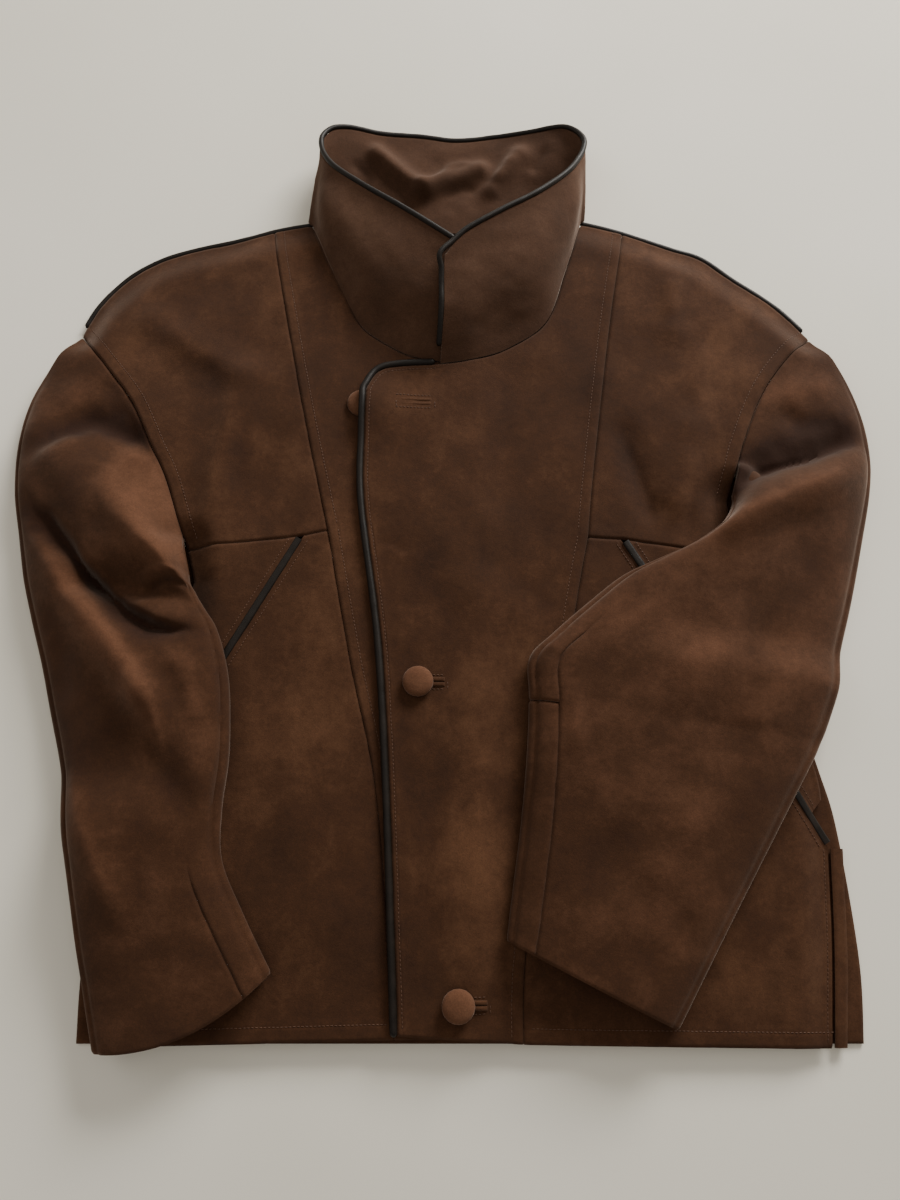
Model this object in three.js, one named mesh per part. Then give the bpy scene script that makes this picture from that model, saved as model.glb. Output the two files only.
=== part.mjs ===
// Suede jacket with a stand-up collar, laid on its back with both sleeves folded over the front.
// Millimetres. +Z is up, +Y runs from hem to collar, +X is towards the wearer's left sleeve.
// The origin is on the surface it lies on, under the middle of the back.
// "right" and "left" in the names are the wearer's own.
import * as THREE from 'three';

// Cloth
const WALL = 2.5;
const HALF_WALL = WALL / 2;
const STEEPEST_NORMAL_Z = 0.6;
const SEAM_GAP = 0.3;
const HALF_GAP = SEAM_GAP / 2;
const ARMHOLE_GAP = 0.5;

// Heights of the front's outer face over the surface that the jacket lies on
const HEM_Z = 11;
const CHEST_Z = 15;
const SIDE_EDGE_Z = 6.8;
const SHOULDER_EDGE_Z = 6.3;
const HEM_RISE_LENGTH = 90;
const EDGE_ROLL = 30;
const ARMHOLE_RAISE = 6;
const ARMHOLE_RAISE_WIDTH = 38;
const ARMHOLE_RAISE_FROM_Y = 30;
const ARMHOLE_RAISE_FULL_Y = 120;

// Overlap of the two fronts
const HEM_Y = -350;
const LAP_LIFT = 3.6;
const LAP_FULL_TO_X = 10;
const LAP_DONE_AT_X = 46;
const LAP_BUMP = { x: -77, y: 153, height: 7, width: 27 };

// Black leather trim
const PIPING_RADIUS = 2;
const PIPING_SIDES = 6;
const PIPING_STEP = 10;
const PLACKET_CELLS = { top: 8, edge: 36 };
const WELT_WIDTH = 5;
const WELT_CELLS = 14;
const WELT_PROUD = 0.7;
const WELT_EDGE_PROUD = WELT_PROUD / 3;
const WELT_CROWN = 0.35;

// Sleeves
const SLEEVE_CLEARANCE = 1.6;
const SUPPORT_PLATEAU = 24;
const SUPPORT_FALL = 24;
const SUPPORT_MARGIN = 20;
const SUPPORT_CELLS = 20;
const SLEEVE_BOTTOM_CELLS = 10;
const SLEEVE_TOP_CELLS = 10;
const FOLD_TURN = [-45, 0, 45];
const SEAM_FROM_EDGE = 22;
const MIN_SLEEVE_SPACE = 2.2;
const ARMHOLE_BLEND_ROWS = 3;
const ARMHOLE_CURVE_ROWS = 4;
const GUSSET_END_ROW = 10;
const ROW_HALF_GAP = 0.006;
const SHORTEST_ROW = 0.2;
const SHARPEST_MITRE = 0.75;
const ARMHOLE_SAMPLES = 60;

// Collar
const COLLAR_ROWS = 6;
const COLLAR_BACK_COLUMNS = 24;
const COLLAR_BULGE = 6;
const CREASE_START = [0.1, 0.4];
const NECK_MIDDLE = { x: -8, y: 345 };

// Covered buttons and bound buttonholes
const BUTTON_RADIUS = 12;
const BUTTON_HEIGHT = 6;
const TUCKED_BUTTON_HEIGHT = 5;
const BUTTON_SEGMENTS = 20;
const BUTTON_PROFILE = [[0, 0], [0.9, 0], [1, 0.28], [0.93, 0.55], [0.72, 0.82], [0.38, 0.96], [0, 1]];
const HOLE_LENGTH = 28;
const HOLE_WIDTH = 7;
const HOLE_THICKNESS = 1;
const HOLE_CELLS = { along: 6, across: 2 };

// Seam lines of each front seen from above: x, y of the points that each curve passes through
const RIGHT = {
  shoulderInner: [[-164, 327], [-147, 331], [-130, 334]],
  shoulderOuter: [[-164, 327], [-197, 317], [-230, 309], [-262, 298], [-290, 280], [-314, 252], [-328, 222]],
  neckline: [[-130, 334], [-114, 293], [-97, 256], [-82, 227], [-61, 210], [-35, 197], [6, 190]],
  armhole: [[-328, 222], [-297, 184], [-273, 152], [-253, 111], [-239, 81], [-221, 25]],
  underarm: [[-221, 25], [-214, -2]],
  princessTop: [[-164, 327], [-153, 265], [-128, 141], [-105, 40]],
  princessLow: [[-105, 40], [-84, -68], [-63, -161], [-51, -270], [-45, -345]],
  frontEdge: [[6, 190], [7, -80], [8, -345]],
  side: [[-214, -2], [-246, -110], [-262, -203], [-268, -290], [-266, -350]],
  backArmhole: [
    [-328, 222], [-297, 184], [-273, 152], [-253, 111], [-239, 81], [-225, 36], [-230, 18], [-234, -8],
  ],
  backSide: [[-234, -8], [-252, -110], [-270, -203], [-278, -290], [-277, -349]],
  weltTop: [-127, 35],
  weltEnd: [-262, -203],
  pocketTipSide: [-257.5, -178],
  pocketTipWelt: [-252.6, -186],
  yokeEnd: [-221, 25],
};
const LEFT = {
  shoulderInner: [[151, 325], [132, 331], [113, 336]],
  shoulderOuter: [[151, 325], [193, 309], [220, 299], [246, 278], [282, 250], [310, 219]],
  neckline: [[-13, 189], [16, 194], [46, 206], [79, 231], [97, 280], [113, 336]],
  armhole: [[310, 219], [284, 194], [260, 161], [240, 116], [231, 86], [226, 66]],
  underarm: [[226, 66], [232, 18]],
  princessTop: [[151, 325], [135, 234], [115, 94], [108, 34]],
  princessLow: [[108, 34], [96, -25], [72, -161], [51, -283], [48, -348]],
  lapTop: [[-76, 163], [-66, 181], [-47, 187], [-13, 189]],
  frontEdge: [[-76, 163], [-77, 126], [-76, 64], [-60, -52], [-51, -176], [-43, -342]],
  side: [[232, 18], [256, -60], [278, -150], [284, -212], [280, -280], [273, -351]],
  backArmhole: [[310, 219], [284, 194], [260, 161], [240, 116], [234, 98], [240, 82], [244, 60]],
  backSide: [[244, 60], [259, -60], [282, -150], [292, -198], [299, -291], [296, -349]],
  weltTop: [137, 32.2],
  weltEnd: [284, -212],
  pocketTipSide: [281, -175],
  pocketTipWelt: [269.3, -187.6],
  yokeEnd: [232, 18],
};
const BACK_NECK = [[-130, 334], [-60, 329], [0, 328], [60, 329], [113, 336]];

// Soft ridges (height over 0) and troughs (under 0) in the fronts, each along a straight stretch
const FRONT_FOLDS = [
  { x0: -262, y0: 231, x1: -180, y1: 182, height: 4, width: 17 },
  { x0: -184, y0: 176, x1: -209, y1: 0, height: 4, width: 15 },
  { x0: -150, y0: 120, x1: -165, y1: 60, height: -2, width: 18 },
  { x0: 193, y0: 276, x1: 188, y1: 225, height: 3, width: 14 },
  { x0: 143, y0: 123, x1: 163, y1: 60, height: -3, width: 13 },
  { x0: 199, y0: 130, x1: 176, y1: 70, height: 4, width: 15 },
  { x0: -30, y0: 60, x1: 30, y1: -30, height: 1.5, width: 26 },
  { x0: -150, y0: -120, x1: -110, y1: -260, height: 1.5, width: 30 },
];

// Sleeve rows from armhole to cuff: outer fold and inner fold seen from above,
// height of the tube over what it lies on, radius of the fold at each edge, bow of the row towards the cuff
const RIGHT_SLEEVE = {
  rows: [
    { ox: -328, oy: 222, ix: -214, iy: -2, height: 20, fold: 3.1, bow: 0 },
    { ox: -350, oy: 188, ix: -213, iy: -6, height: 27, fold: 4, bow: 0 },
    { ox: -365, oy: 158, ix: -211, iy: -10, height: 31, fold: 5, bow: 0 },
    { ox: -371, oy: 120, ix: -208, iy: -14, height: 32, fold: 6, bow: 0 },
    { ox: -369, oy: 76, ix: -204, iy: -21, height: 28, fold: 6, bow: 0 },
    { ox: -361, oy: 36, ix: -198, iy: -30, height: 25, fold: 6, bow: 0 },
    { ox: -353, oy: 0, ix: -190, iy: -42, height: 25, fold: 6, bow: 0 },
    { ox: -342, oy: -36, ix: -183, iy: -60, height: 27, fold: 6, bow: 0 },
    { ox: -330, oy: -72, ix: -177, iy: -84, height: 28, fold: 6, bow: 0 },
    { ox: -319, oy: -110, ix: -174, iy: -112, height: 27, fold: 6, bow: 0 },
    { ox: -306, oy: -154, ix: -173, iy: -146, height: 26, fold: 6, bow: 0 },
    { ox: -295, oy: -200, ix: -176, iy: -184, height: 24, fold: 6, bow: 2 },
    { ox: -284, oy: -248, ix: -174, iy: -220, height: 22, fold: 5, bow: 5 },
    { ox: -272, oy: -300, ix: -156, iy: -258, height: 20, fold: 5, bow: 10 },
    { ox: -259, oy: -352, ix: -134, iy: -298, height: 18, fold: 5, bow: 15 },
  ],
  folds: [
    { x0: -372, y0: 62, x1: -239, y1: -97, height: 5, width: 15 },
    { x0: -239, y0: -97, x1: -176, y1: -168, height: 5, width: 15 },
    { x0: -304, y0: -146, x1: -246, y1: -250, height: 4, width: 14 },
    { x0: -300, y0: -6, x1: -205, y1: -22, height: -9, width: 11 },
    { x0: -360, y0: 150, x1: -273, y1: 131, height: -4, width: 14 },
    { x0: -352, y0: 104, x1: -318, y1: 26, height: -4, width: 13 },
    { x0: -238, y0: 84, x1: -218, y1: 20, height: 5, width: 15 },
  ],
};
const LEFT_SLEEVE = {
  rows: [
    { ox: 310, oy: 219, ix: 226, iy: 66, height: 20, fold: 3.1, bow: 0 },
    { ox: 335, oy: 178, ix: 226, iy: 61, height: 26, fold: 4, bow: 0 },
    { ox: 347, oy: 143, ix: 221.5, iy: 51, height: 30, fold: 5, bow: 0 },
    { ox: 350, oy: 108, ix: 212, iy: 40, height: 31, fold: 6, bow: 0 },
    { ox: 346, oy: 74, ix: 189, iy: 25, height: 30, fold: 6, bow: 0 },
    { ox: 334, oy: 28, ix: 160, iy: 12, height: 29, fold: 6, bow: 0 },
    { ox: 321, oy: -18, ix: 133, iy: -1, height: 28, fold: 6, bow: 0 },
    { ox: 310, oy: -52, ix: 106, iy: -22, height: 28, fold: 6, bow: 0 },
    { ox: 300, oy: -82, ix: 77, iy: -47, height: 27, fold: 6, bow: 0 },
    { ox: 290, oy: -108, ix: 57, iy: -68, height: 26, fold: 6, bow: 0 },
    { ox: 276, oy: -138, ix: 56, iy: -101, height: 25, fold: 6, bow: 0 },
    { ox: 252, oy: -178, ix: 53, iy: -147, height: 24, fold: 6, bow: 0 },
    { ox: 225, oy: -223, ix: 48, iy: -194, height: 22, fold: 5, bow: 0 },
    { ox: 196, oy: -271, ix: 42, iy: -235, height: 20, fold: 5, bow: 0 },
    { ox: 158, oy: -337, ix: 36, iy: -276, height: 18, fold: 5, bow: 0 },
  ],
  folds: [
    { x0: 222, y0: 74, x1: 342, y1: 122, height: -8, width: 12 },
    { x0: 215, y0: 42, x1: 345, y1: 92, height: 5, width: 15 },
    { x0: 250, y0: -60, x1: 160, y1: -150, height: -3, width: 22 },
    { x0: 200, y0: -130, x1: 120, y1: -230, height: -3, width: 20 },
  ],
};

// Collar: the rim's points in space, and the over piece's front corner
const UNDER_RIM = [
  [10, 277, 51], [-5, 288, 51], [-47, 319, 49], [-78, 342, 45], [-110, 371, 38], [-121, 392, 31],
];
const BACK_RIM = [
  [-121, 392, 31], [-120, 408, 28], [-112, 420, 25], [-98, 425, 21], [-69, 425, 13], [-32, 426, 8], [0, 423, 6],
  [41, 426, 8], [77, 425, 17], [97, 423, 24], [109, 413, 29], [115, 398, 33], [113, 384, 36],
];
const OVER_RIM = [[113, 384, 36], [100, 360, 44], [72, 332, 52], [37, 309, 56], [4, 286, 57], [-10, 268, 56]];
const BACK_BASE = [
  [-130, 334.4, 5], [-133.5, 336, 3.2], [-129, 336.5, 1.4], [-95, 333, 1.3], [-50, 329.6, 1.3], [0, 328.6, 1.3],
  [50, 329.6, 1.3], [80, 333, 1.3], [112, 338.5, 1.4], [116.5, 338, 3.2], [113, 336.4, 5],
];
const COLLAR_CREASES = [
  { x0: -72, y0: 405, x1: -30, y1: 372, height: 7, width: 9 },
  { x0: -30, y0: 372, x1: 22, y1: 392, height: 8, width: 9 },
  { x0: 34, y0: 372, x1: 58, y1: 404, height: 6, width: 9 },
];

const BUTTONS = [
  { name: 'top', x: -80, y: 153, tucked: true },
  { name: 'middle', x: -30, y: -86, tucked: false },
  { name: 'bottom', x: 1, y: -321, tucked: false },
];
const BUTTONHOLES = [
  { name: 'top', x: -34, y: 153 },
  { name: 'middle', x: -23, y: -86 },
  { name: 'bottom', x: 8, y: -321 },
];

const SUEDE = { color: 0x4f3020, roughness: 0.95, metalness: 0 };
const LEATHER = { color: 0x1d1714, roughness: 0.5, metalness: 0 };

// Numbers and plane curves

const LENGTH_SAMPLES = 400;
const lerp = THREE.MathUtils.lerp;
const smooth = (low, high, value) => THREE.MathUtils.smoothstep(value, low, high);
const bell = (distance, width) => Math.exp(-((distance / width) ** 2));

function planCurve(points, cells) {
  const curve = new THREE.SplineCurve(points.map(([x, y]) => new THREE.Vector2(x, y)));
  curve.arcLengthDivisions = LENGTH_SAMPLES;
  return curve.getSpacedPoints(cells);
}

function spaceCurve(points, cells) {
  const curve = new THREE.CatmullRomCurve3(points.map((p) => new THREE.Vector3(...p)), false, 'centripetal');
  curve.arcLengthDivisions = LENGTH_SAMPLES;
  return curve.getSpacedPoints(cells);
}

// Curves joined end to end, without repeating the shared point
function chain(...curves) {
  return curves.flatMap((curve, i) => (i === 0 ? curve : curve.slice(1)));
}

function segmentDistance(x, y, x0, y0, x1, y1) {
  const dx = x1 - x0;
  const dy = y1 - y0;
  const along = THREE.MathUtils.clamp(((x - x0) * dx + (y - y0) * dy) / (dx * dx + dy * dy), 0, 1);
  return Math.hypot(x - x0 - dx * along, y - y0 - dy * along);
}

function pathDistance(x, y, points) {
  let nearest = Infinity;
  for (let i = 1; i < points.length; i += 1) {
    const [a, b] = [points[i - 1], points[i]];
    nearest = Math.min(nearest, segmentDistance(x, y, a.x, a.y, b.x, b.y));
  }
  return nearest;
}

function foldHeight(folds, x, y) {
  return folds.reduce(
    (sum, f) => sum + f.height * bell(segmentDistance(x, y, f.x0, f.y0, f.x1, f.y1), f.width),
    0,
  );
}

// The body's edges, right then left, for distances
const EDGE_CELLS = 12;
const SHOULDER_CELLS = 3;
const SIDES = [RIGHT, LEFT].map((half) => planCurve(half.side, EDGE_CELLS));
const UNDERARM_STARTS = [RIGHT, LEFT].map((half) => half.underarm[0]);
const SHOULDERS = [RIGHT, LEFT].map((half) => chain(
  planCurve([...half.shoulderInner].reverse(), SHOULDER_CELLS),
  planCurve(half.shoulderOuter, EDGE_CELLS),
));
const ARMHOLES = [RIGHT, LEFT].map((half) => planCurve(half.armhole, EDGE_CELLS));

// Height of the front's outer face, without the upper layer's lift
function frontHeight(x, y, sideMargin = 0) {
  const half = x < 0 ? 0 : 1;
  let z = lerp(HEM_Z, CHEST_Z, smooth(0, HEM_RISE_LENGTH, y - HEM_Y));
  const armhole = bell(pathDistance(x, y, ARMHOLES[half]), ARMHOLE_RAISE_WIDTH);
  z += ARMHOLE_RAISE * armhole * smooth(ARMHOLE_RAISE_FROM_Y, ARMHOLE_RAISE_FULL_Y, y);
  z += foldHeight(FRONT_FOLDS, x, y);
  const side = Math.min(pathDistance(x, y, SIDES[half]), underarmDistance(x, y, half)) + sideMargin;
  z = lerp(SIDE_EDGE_Z, z, smooth(0, EDGE_ROLL, side));
  return lerp(SHOULDER_EDGE_Z, z, smooth(0, EDGE_ROLL, pathDistance(x, y, SHOULDERS[half])));
}

// Distance from the edge between the armhole's end and the side seam
function underarmDistance(x, y, half) {
  const [x0, y0] = UNDERARM_STARTS[half];
  const side = SIDES[half][0];
  return segmentDistance(x, y, x0, y0, side.x, side.y);
}

// The wearer's left front lies on the right one from its edge to past the middle
function lapHeight(x, y) {
  const bump = LAP_BUMP.height * bell(Math.hypot(x - LAP_BUMP.x, y - LAP_BUMP.y), LAP_BUMP.width);
  return frontHeight(x, y) + LAP_LIFT * (1 - smooth(LAP_FULL_TO_X, LAP_DONE_AT_X, x)) + bump;
}

// Solids from grids of points

function orientedGeometry(points, faces) {
  const volume = faces.reduce((sum, [a, b, c]) => {
    const cross = new THREE.Vector3().crossVectors(points[b], points[c]);
    return sum + points[a].dot(cross);
  }, 0);
  const wound = volume > 0 ? faces : faces.map(([a, b, c]) => [a, c, b]);
  const geometry = new THREE.BufferGeometry();
  geometry.setAttribute('position', new THREE.Float32BufferAttribute(points.flatMap((p) => p.toArray()), 3));
  geometry.setIndex(wound.flat());
  geometry.computeVertexNormals();
  return geometry;
}

// A wall between two grids of the same size, closed along its four edges
function wallGeometry(outer, inner) {
  const rows = outer.length;
  const columns = outer[0].length;
  const points = [...outer.flat(), ...inner.flat()];
  const half = rows * columns;
  const at = (i, j) => i * columns + j;
  const faces = [];
  const quad = (a, b, c, d) => faces.push([a, b, c], [a, c, d]);
  for (let i = 0; i + 1 < rows; i += 1) {
    for (let j = 0; j + 1 < columns; j += 1) {
      const corners = [at(i, j), at(i, j + 1), at(i + 1, j + 1), at(i + 1, j)];
      quad(...corners);
      const [a, b, c, d] = corners.map((k) => k + half);
      faces.push([a, c, b], [a, d, c]);
    }
  }
  // Border faces are split along the same diagonal on every piece, so that two pieces that meet stay parallel
  const close = (count, index, turned) => {
    for (let k = 0; k + 1 < count; k += 1) {
      const [a, b] = turned ? [index(k + 1), index(k)] : [index(k), index(k + 1)];
      if (turned) faces.push([a, b, a + half], [a + half, b, b + half]);
      else faces.push([a, b, b + half], [a, b + half, a + half]);
    }
  };
  close(columns, (j) => at(0, j), true);
  close(columns, (j) => at(rows - 1, j), false);
  close(rows, (i) => at(i, 0), false);
  close(rows, (i) => at(i, columns - 1), true);
  return orientedGeometry(points, faces);
}

function gridNormals(grid) {
  return grid.map((row, i) => row.map((_, j) => {
    const along = new THREE.Vector3().subVectors(
      row[Math.min(j + 1, row.length - 1)],
      row[Math.max(j - 1, 0)],
    );
    const across = new THREE.Vector3().subVectors(
      grid[Math.min(i + 1, grid.length - 1)][j],
      grid[Math.max(i - 1, 0)][j],
    );
    return along.cross(across).normalize();
  }));
}

// Flat patch filled between four plane curves; opposite curves have the same number of points
function patchPlan(top, bottom, left, right) {
  const rows = left.length - 1;
  const columns = top.length - 1;
  return left.map((_, i) => top.map((__, j) => {
    const u = j / columns;
    const v = i / rows;
    const mix = (axis) => (1 - v) * top[j][axis] + v * bottom[j][axis]
      + (1 - u) * left[i][axis] + u * right[i][axis]
      - (1 - u) * (1 - v) * top[0][axis] - u * (1 - v) * top[columns][axis]
      - (1 - u) * v * bottom[0][axis] - u * v * bottom[columns][axis];
    return new THREE.Vector2(mix('x'), mix('y'));
  }));
}

// Moves the patch's borders inwards, by its own amount on each side, and fills it again
function insetPlan(plan, inset) {
  const rows = plan.length - 1;
  const columns = plan[0].length - 1;
  const point = (i, j) => plan[THREE.MathUtils.clamp(i, 0, rows)][THREE.MathUtils.clamp(j, 0, columns)];
  const inward = (tangent, inside) => {
    const normal = new THREE.Vector2(-tangent.y, tangent.x);
    return normal.dot(inside) < 0 ? normal.negate() : normal;
  };
  const moved = (i, j) => {
    const p = point(i, j);
    const across = i === 0 ? inset.top : inset.bottom;
    const beside = j === 0 ? inset.left : inset.right;
    const alongRow = point(i, j + 1).clone().sub(point(i, j - 1)).normalize();
    const alongColumn = point(i + 1, j).clone().sub(point(i - 1, j)).normalize();
    const rowNormal = inward(alongRow, point(i === 0 ? 1 : i - 1, j).clone().sub(p));
    const columnNormal = inward(alongColumn, point(i, j === 0 ? 1 : j - 1).clone().sub(p));
    const onRow = i === 0 || i === rows;
    const onColumn = j === 0 || j === columns;
    if (onRow && onColumn) {
      // The corner of the two moved edges
      const det = rowNormal.x * columnNormal.y - rowNormal.y * columnNormal.x;
      return new THREE.Vector2(
        p.x + (across * columnNormal.y - beside * rowNormal.y) / det,
        p.y + (beside * rowNormal.x - across * columnNormal.x) / det,
      );
    }
    const [normal, tangent] = onRow ? [rowNormal, alongRow] : [columnNormal, alongColumn];
    const slide = onRow
      ? lerp(inset.left, -inset.right, j / columns)
      : lerp(inset.top, -inset.bottom, i / rows);
    return p.clone().addScaledVector(normal, onRow ? across : beside).addScaledVector(tangent, slide);
  };
  return patchPlan(
    plan[0].map((_, j) => moved(0, j)),
    plan[0].map((_, j) => moved(rows, j)),
    plan.map((_, i) => moved(i, 0)),
    plan.map((_, i) => moved(i, columns)),
  );
}

// Cloth of even thickness whose outer face follows a height
function panelGeometry(plan, heightAt) {
  const outer = plan.map((row) => row.map((p) => new THREE.Vector3(p.x, p.y, heightAt(p.x, p.y))));
  const normals = gridNormals(outer);
  const inner = outer.map((row, i) => row.map((p, j) => {
    const steep = Math.max(Math.abs(normals[i][j].z), STEEPEST_NORMAL_Z);
    return new THREE.Vector3(p.x, p.y, p.z - WALL / steep);
  }));
  return wallGeometry(outer, inner);
}

function mesh(name, geometry, finish) {
  const made = new THREE.Mesh(geometry, new THREE.MeshStandardMaterial(finish));
  made.name = name;
  return made;
}

// Back: one flat panel on the surface

const BACK_ARMHOLE_CELLS = 20;

function backPanel() {
  const outline = new THREE.Shape([
    ...planCurve(BACK_NECK, EDGE_CELLS),
    ...planCurve(LEFT.shoulderInner, SHOULDER_CELLS).reverse().slice(1),
    ...planCurve(LEFT.shoulderOuter, EDGE_CELLS).slice(1),
    ...planCurve(LEFT.backArmhole, BACK_ARMHOLE_CELLS).slice(1),
    ...planCurve(LEFT.backSide, EDGE_CELLS).slice(1),
    ...planCurve(RIGHT.backSide, EDGE_CELLS).reverse(),
    ...planCurve(RIGHT.backArmhole, BACK_ARMHOLE_CELLS).reverse().slice(1),
    ...planCurve(RIGHT.shoulderOuter, EDGE_CELLS).reverse().slice(1),
    ...planCurve(RIGHT.shoulderInner, SHOULDER_CELLS).slice(1, -1),
  ]);
  return mesh('back_panel', new THREE.ExtrudeGeometry(outline, { depth: WALL, bevelEnabled: false }), SUEDE);
}

// Fronts: centre, yoke, pocket side and lower panel on each half

const CELLS = {
  shoulder: 10,
  neck: 12,
  neckShoulder: 2,
  lapTop: 6,
  armhole: 9,
  yokeInner: 3,
  welt: 10,
  sideLow: 4,
  lower: 9,
  tip: 5,
};
const PAST_TIP = 5;

function frontCentre(half, over) {
  const shoulder = planCurve(half.shoulderInner, CELLS.neckShoulder);
  const neck = planCurve(half.neckline, CELLS.neck);
  const princess = chain(
    planCurve(half.princessTop, CELLS.armhole),
    planCurve(half.princessLow, CELLS.welt + CELLS.sideLow),
  );
  const edge = planCurve(half.frontEdge, princess.length - 1);
  const top = over
    ? chain(planCurve(half.lapTop, CELLS.lapTop), neck, [...shoulder].reverse())
    : chain(shoulder, neck);
  const [left, right] = over ? [edge, princess] : [princess, edge];
  const bottom = planCurve([left.at(-1).toArray(), right.at(-1).toArray()], top.length - 1);
  const inset = { top: HALF_GAP, bottom: 0, left: over ? 0 : HALF_GAP, right: over ? HALF_GAP : 0 };
  return insetPlan(patchPlan(top, bottom, left, right), inset);
}

function frontYoke(half) {
  const shoulder = planCurve([...half.shoulderOuter].reverse(), CELLS.shoulder);
  const corner = half.princessTop.at(-1);
  const seam = chain(
    planCurve([half.yokeEnd, half.weltTop], CELLS.shoulder - CELLS.yokeInner),
    planCurve([half.weltTop, corner], CELLS.yokeInner),
  );
  const outer = half === LEFT
    ? chain(planCurve(half.armhole, CELLS.armhole - 2), planCurve(half.underarm, 2))
    : planCurve(half.armhole, CELLS.armhole);
  return insetPlan(
    patchPlan(shoulder, seam, outer, planCurve(half.princessTop, CELLS.armhole)),
    { top: HALF_GAP, bottom: HALF_GAP, left: HALF_GAP, right: HALF_GAP },
  );
}

// The panel's outer edge: down the side, on the right from the end of the armhole
function pocketOuterEdge(half) {
  const sidePoints = half.side.slice(1).filter(([, y]) => y > half.pocketTipSide[1] + PAST_TIP);
  const side = (cells) => planCurve([half.side[0], ...sidePoints, half.pocketTipSide], cells);
  return half === LEFT ? side(CELLS.welt) : chain(planCurve(half.underarm, 1), side(CELLS.welt - 1));
}

function pocketSide(half) {
  return insetPlan(
    patchPlan(
      planCurve([half.yokeEnd, half.weltTop], CELLS.tip),
      planCurve([half.pocketTipSide, half.pocketTipWelt], CELLS.tip),
      pocketOuterEdge(half),
      planCurve([half.weltTop, half.pocketTipWelt], CELLS.welt),
    ),
    { top: HALF_GAP, bottom: 0, left: HALF_GAP, right: WELT_WIDTH / 2 + SEAM_GAP },
  );
}

function frontLower(half) {
  const sideLow = half.side.filter(([, y]) => y < half.weltEnd[1] + 1);
  const left = chain(planCurve([half.weltTop, half.weltEnd], CELLS.welt), planCurve(sideLow, CELLS.sideLow));
  const princess = planCurve(half.princessLow, CELLS.welt + CELLS.sideLow);
  const top = planCurve([half.weltTop, half.princessTop.at(-1)], CELLS.lower);
  const bottom = planCurve([half.side.at(-1), half.princessLow.at(-1)], CELLS.lower);
  return insetPlan(
    patchPlan(top, bottom, left, princess),
    { top: HALF_GAP, bottom: 0, left: WELT_WIDTH / 2 + SEAM_GAP, right: HALF_GAP },
  );
}

function fronts() {
  const made = [
    mesh('front_right_center', panelGeometry(frontCentre(RIGHT, false), frontHeight), SUEDE),
    mesh('front_left_center', panelGeometry(frontCentre(LEFT, true), lapHeight), SUEDE),
  ];
  for (const [side, half, height] of [['right', RIGHT, frontHeight], ['left', LEFT, lapHeight]]) {
    made.push(
      mesh(`front_${side}_yoke`, panelGeometry(frontYoke(half), height), SUEDE),
      mesh(`front_${side}_pocket_side`, panelGeometry(pocketSide(half), height), SUEDE),
      mesh(`front_${side}_lower`, panelGeometry(frontLower(half), height), SUEDE),
    );
  }
  return made;
}

// Narrow strip beside the left front's lower edge, over the side vent
const STRIP = { width: 10, topZ: 6.4, outerZ: 5.7, cells: 6 };

function sideStrip() {
  const edge = planCurve(LEFT.side.filter(([, y]) => y < LEFT.weltEnd[1] + 1), STRIP.cells);
  const outer = edge.map((p) => [
    new THREE.Vector3(p.x + SEAM_GAP, p.y, STRIP.topZ),
    new THREE.Vector3(p.x + STRIP.width, p.y, STRIP.outerZ),
  ]);
  const inner = outer.map((row) => row.map((p) => new THREE.Vector3(p.x, p.y, p.z - WALL)));
  return mesh('side_strip_left', wallGeometry(outer, inner), SUEDE);
}

// Sleeves

// What a sleeve lies on: the surface, the back's edge, or the front
function supportUnder(half, heightAt) {
  const outward = half === RIGHT ? -1 : 1;
  const start = half === RIGHT ? half.underarm[1] : half.underarm[0];
  const frontSide = planCurve(half === RIGHT ? half.side : [start, ...half.side], SUPPORT_CELLS);
  const backSide = planCurve(half.backSide, SUPPORT_CELLS);
  const outside = (points, x, y) => {
    if (y > start[1]) return Math.hypot(Math.max(0, outward * (x - start[0])), y - start[1]);
    const k = points.findIndex((p) => p.y <= y);
    if (k < 1) return Math.max(0, outward * (x - points.at(k).x));
    const [a, b] = [points[k - 1], points[k]];
    return Math.max(0, outward * (x - lerp(a.x, b.x, (y - a.y) / (b.y - a.y))));
  };
  const fall = (distance) => 1 - smooth(SUPPORT_PLATEAU, SUPPORT_PLATEAU + SUPPORT_FALL, distance);
  // The front's rolled edge is filled a little, so that the sleeve's flat cells clear it
  const filled = (x, y) => heightAt(x, y) + frontHeight(x, y, SUPPORT_MARGIN) - frontHeight(x, y);
  return ({ x, y }) => Math.max(
    (filled(x, y) + SLEEVE_CLEARANCE) * fall(outside(frontSide, x, y)),
    (WALL + SEAM_GAP) * fall(outside(backSide, x, y)),
  );
}

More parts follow.
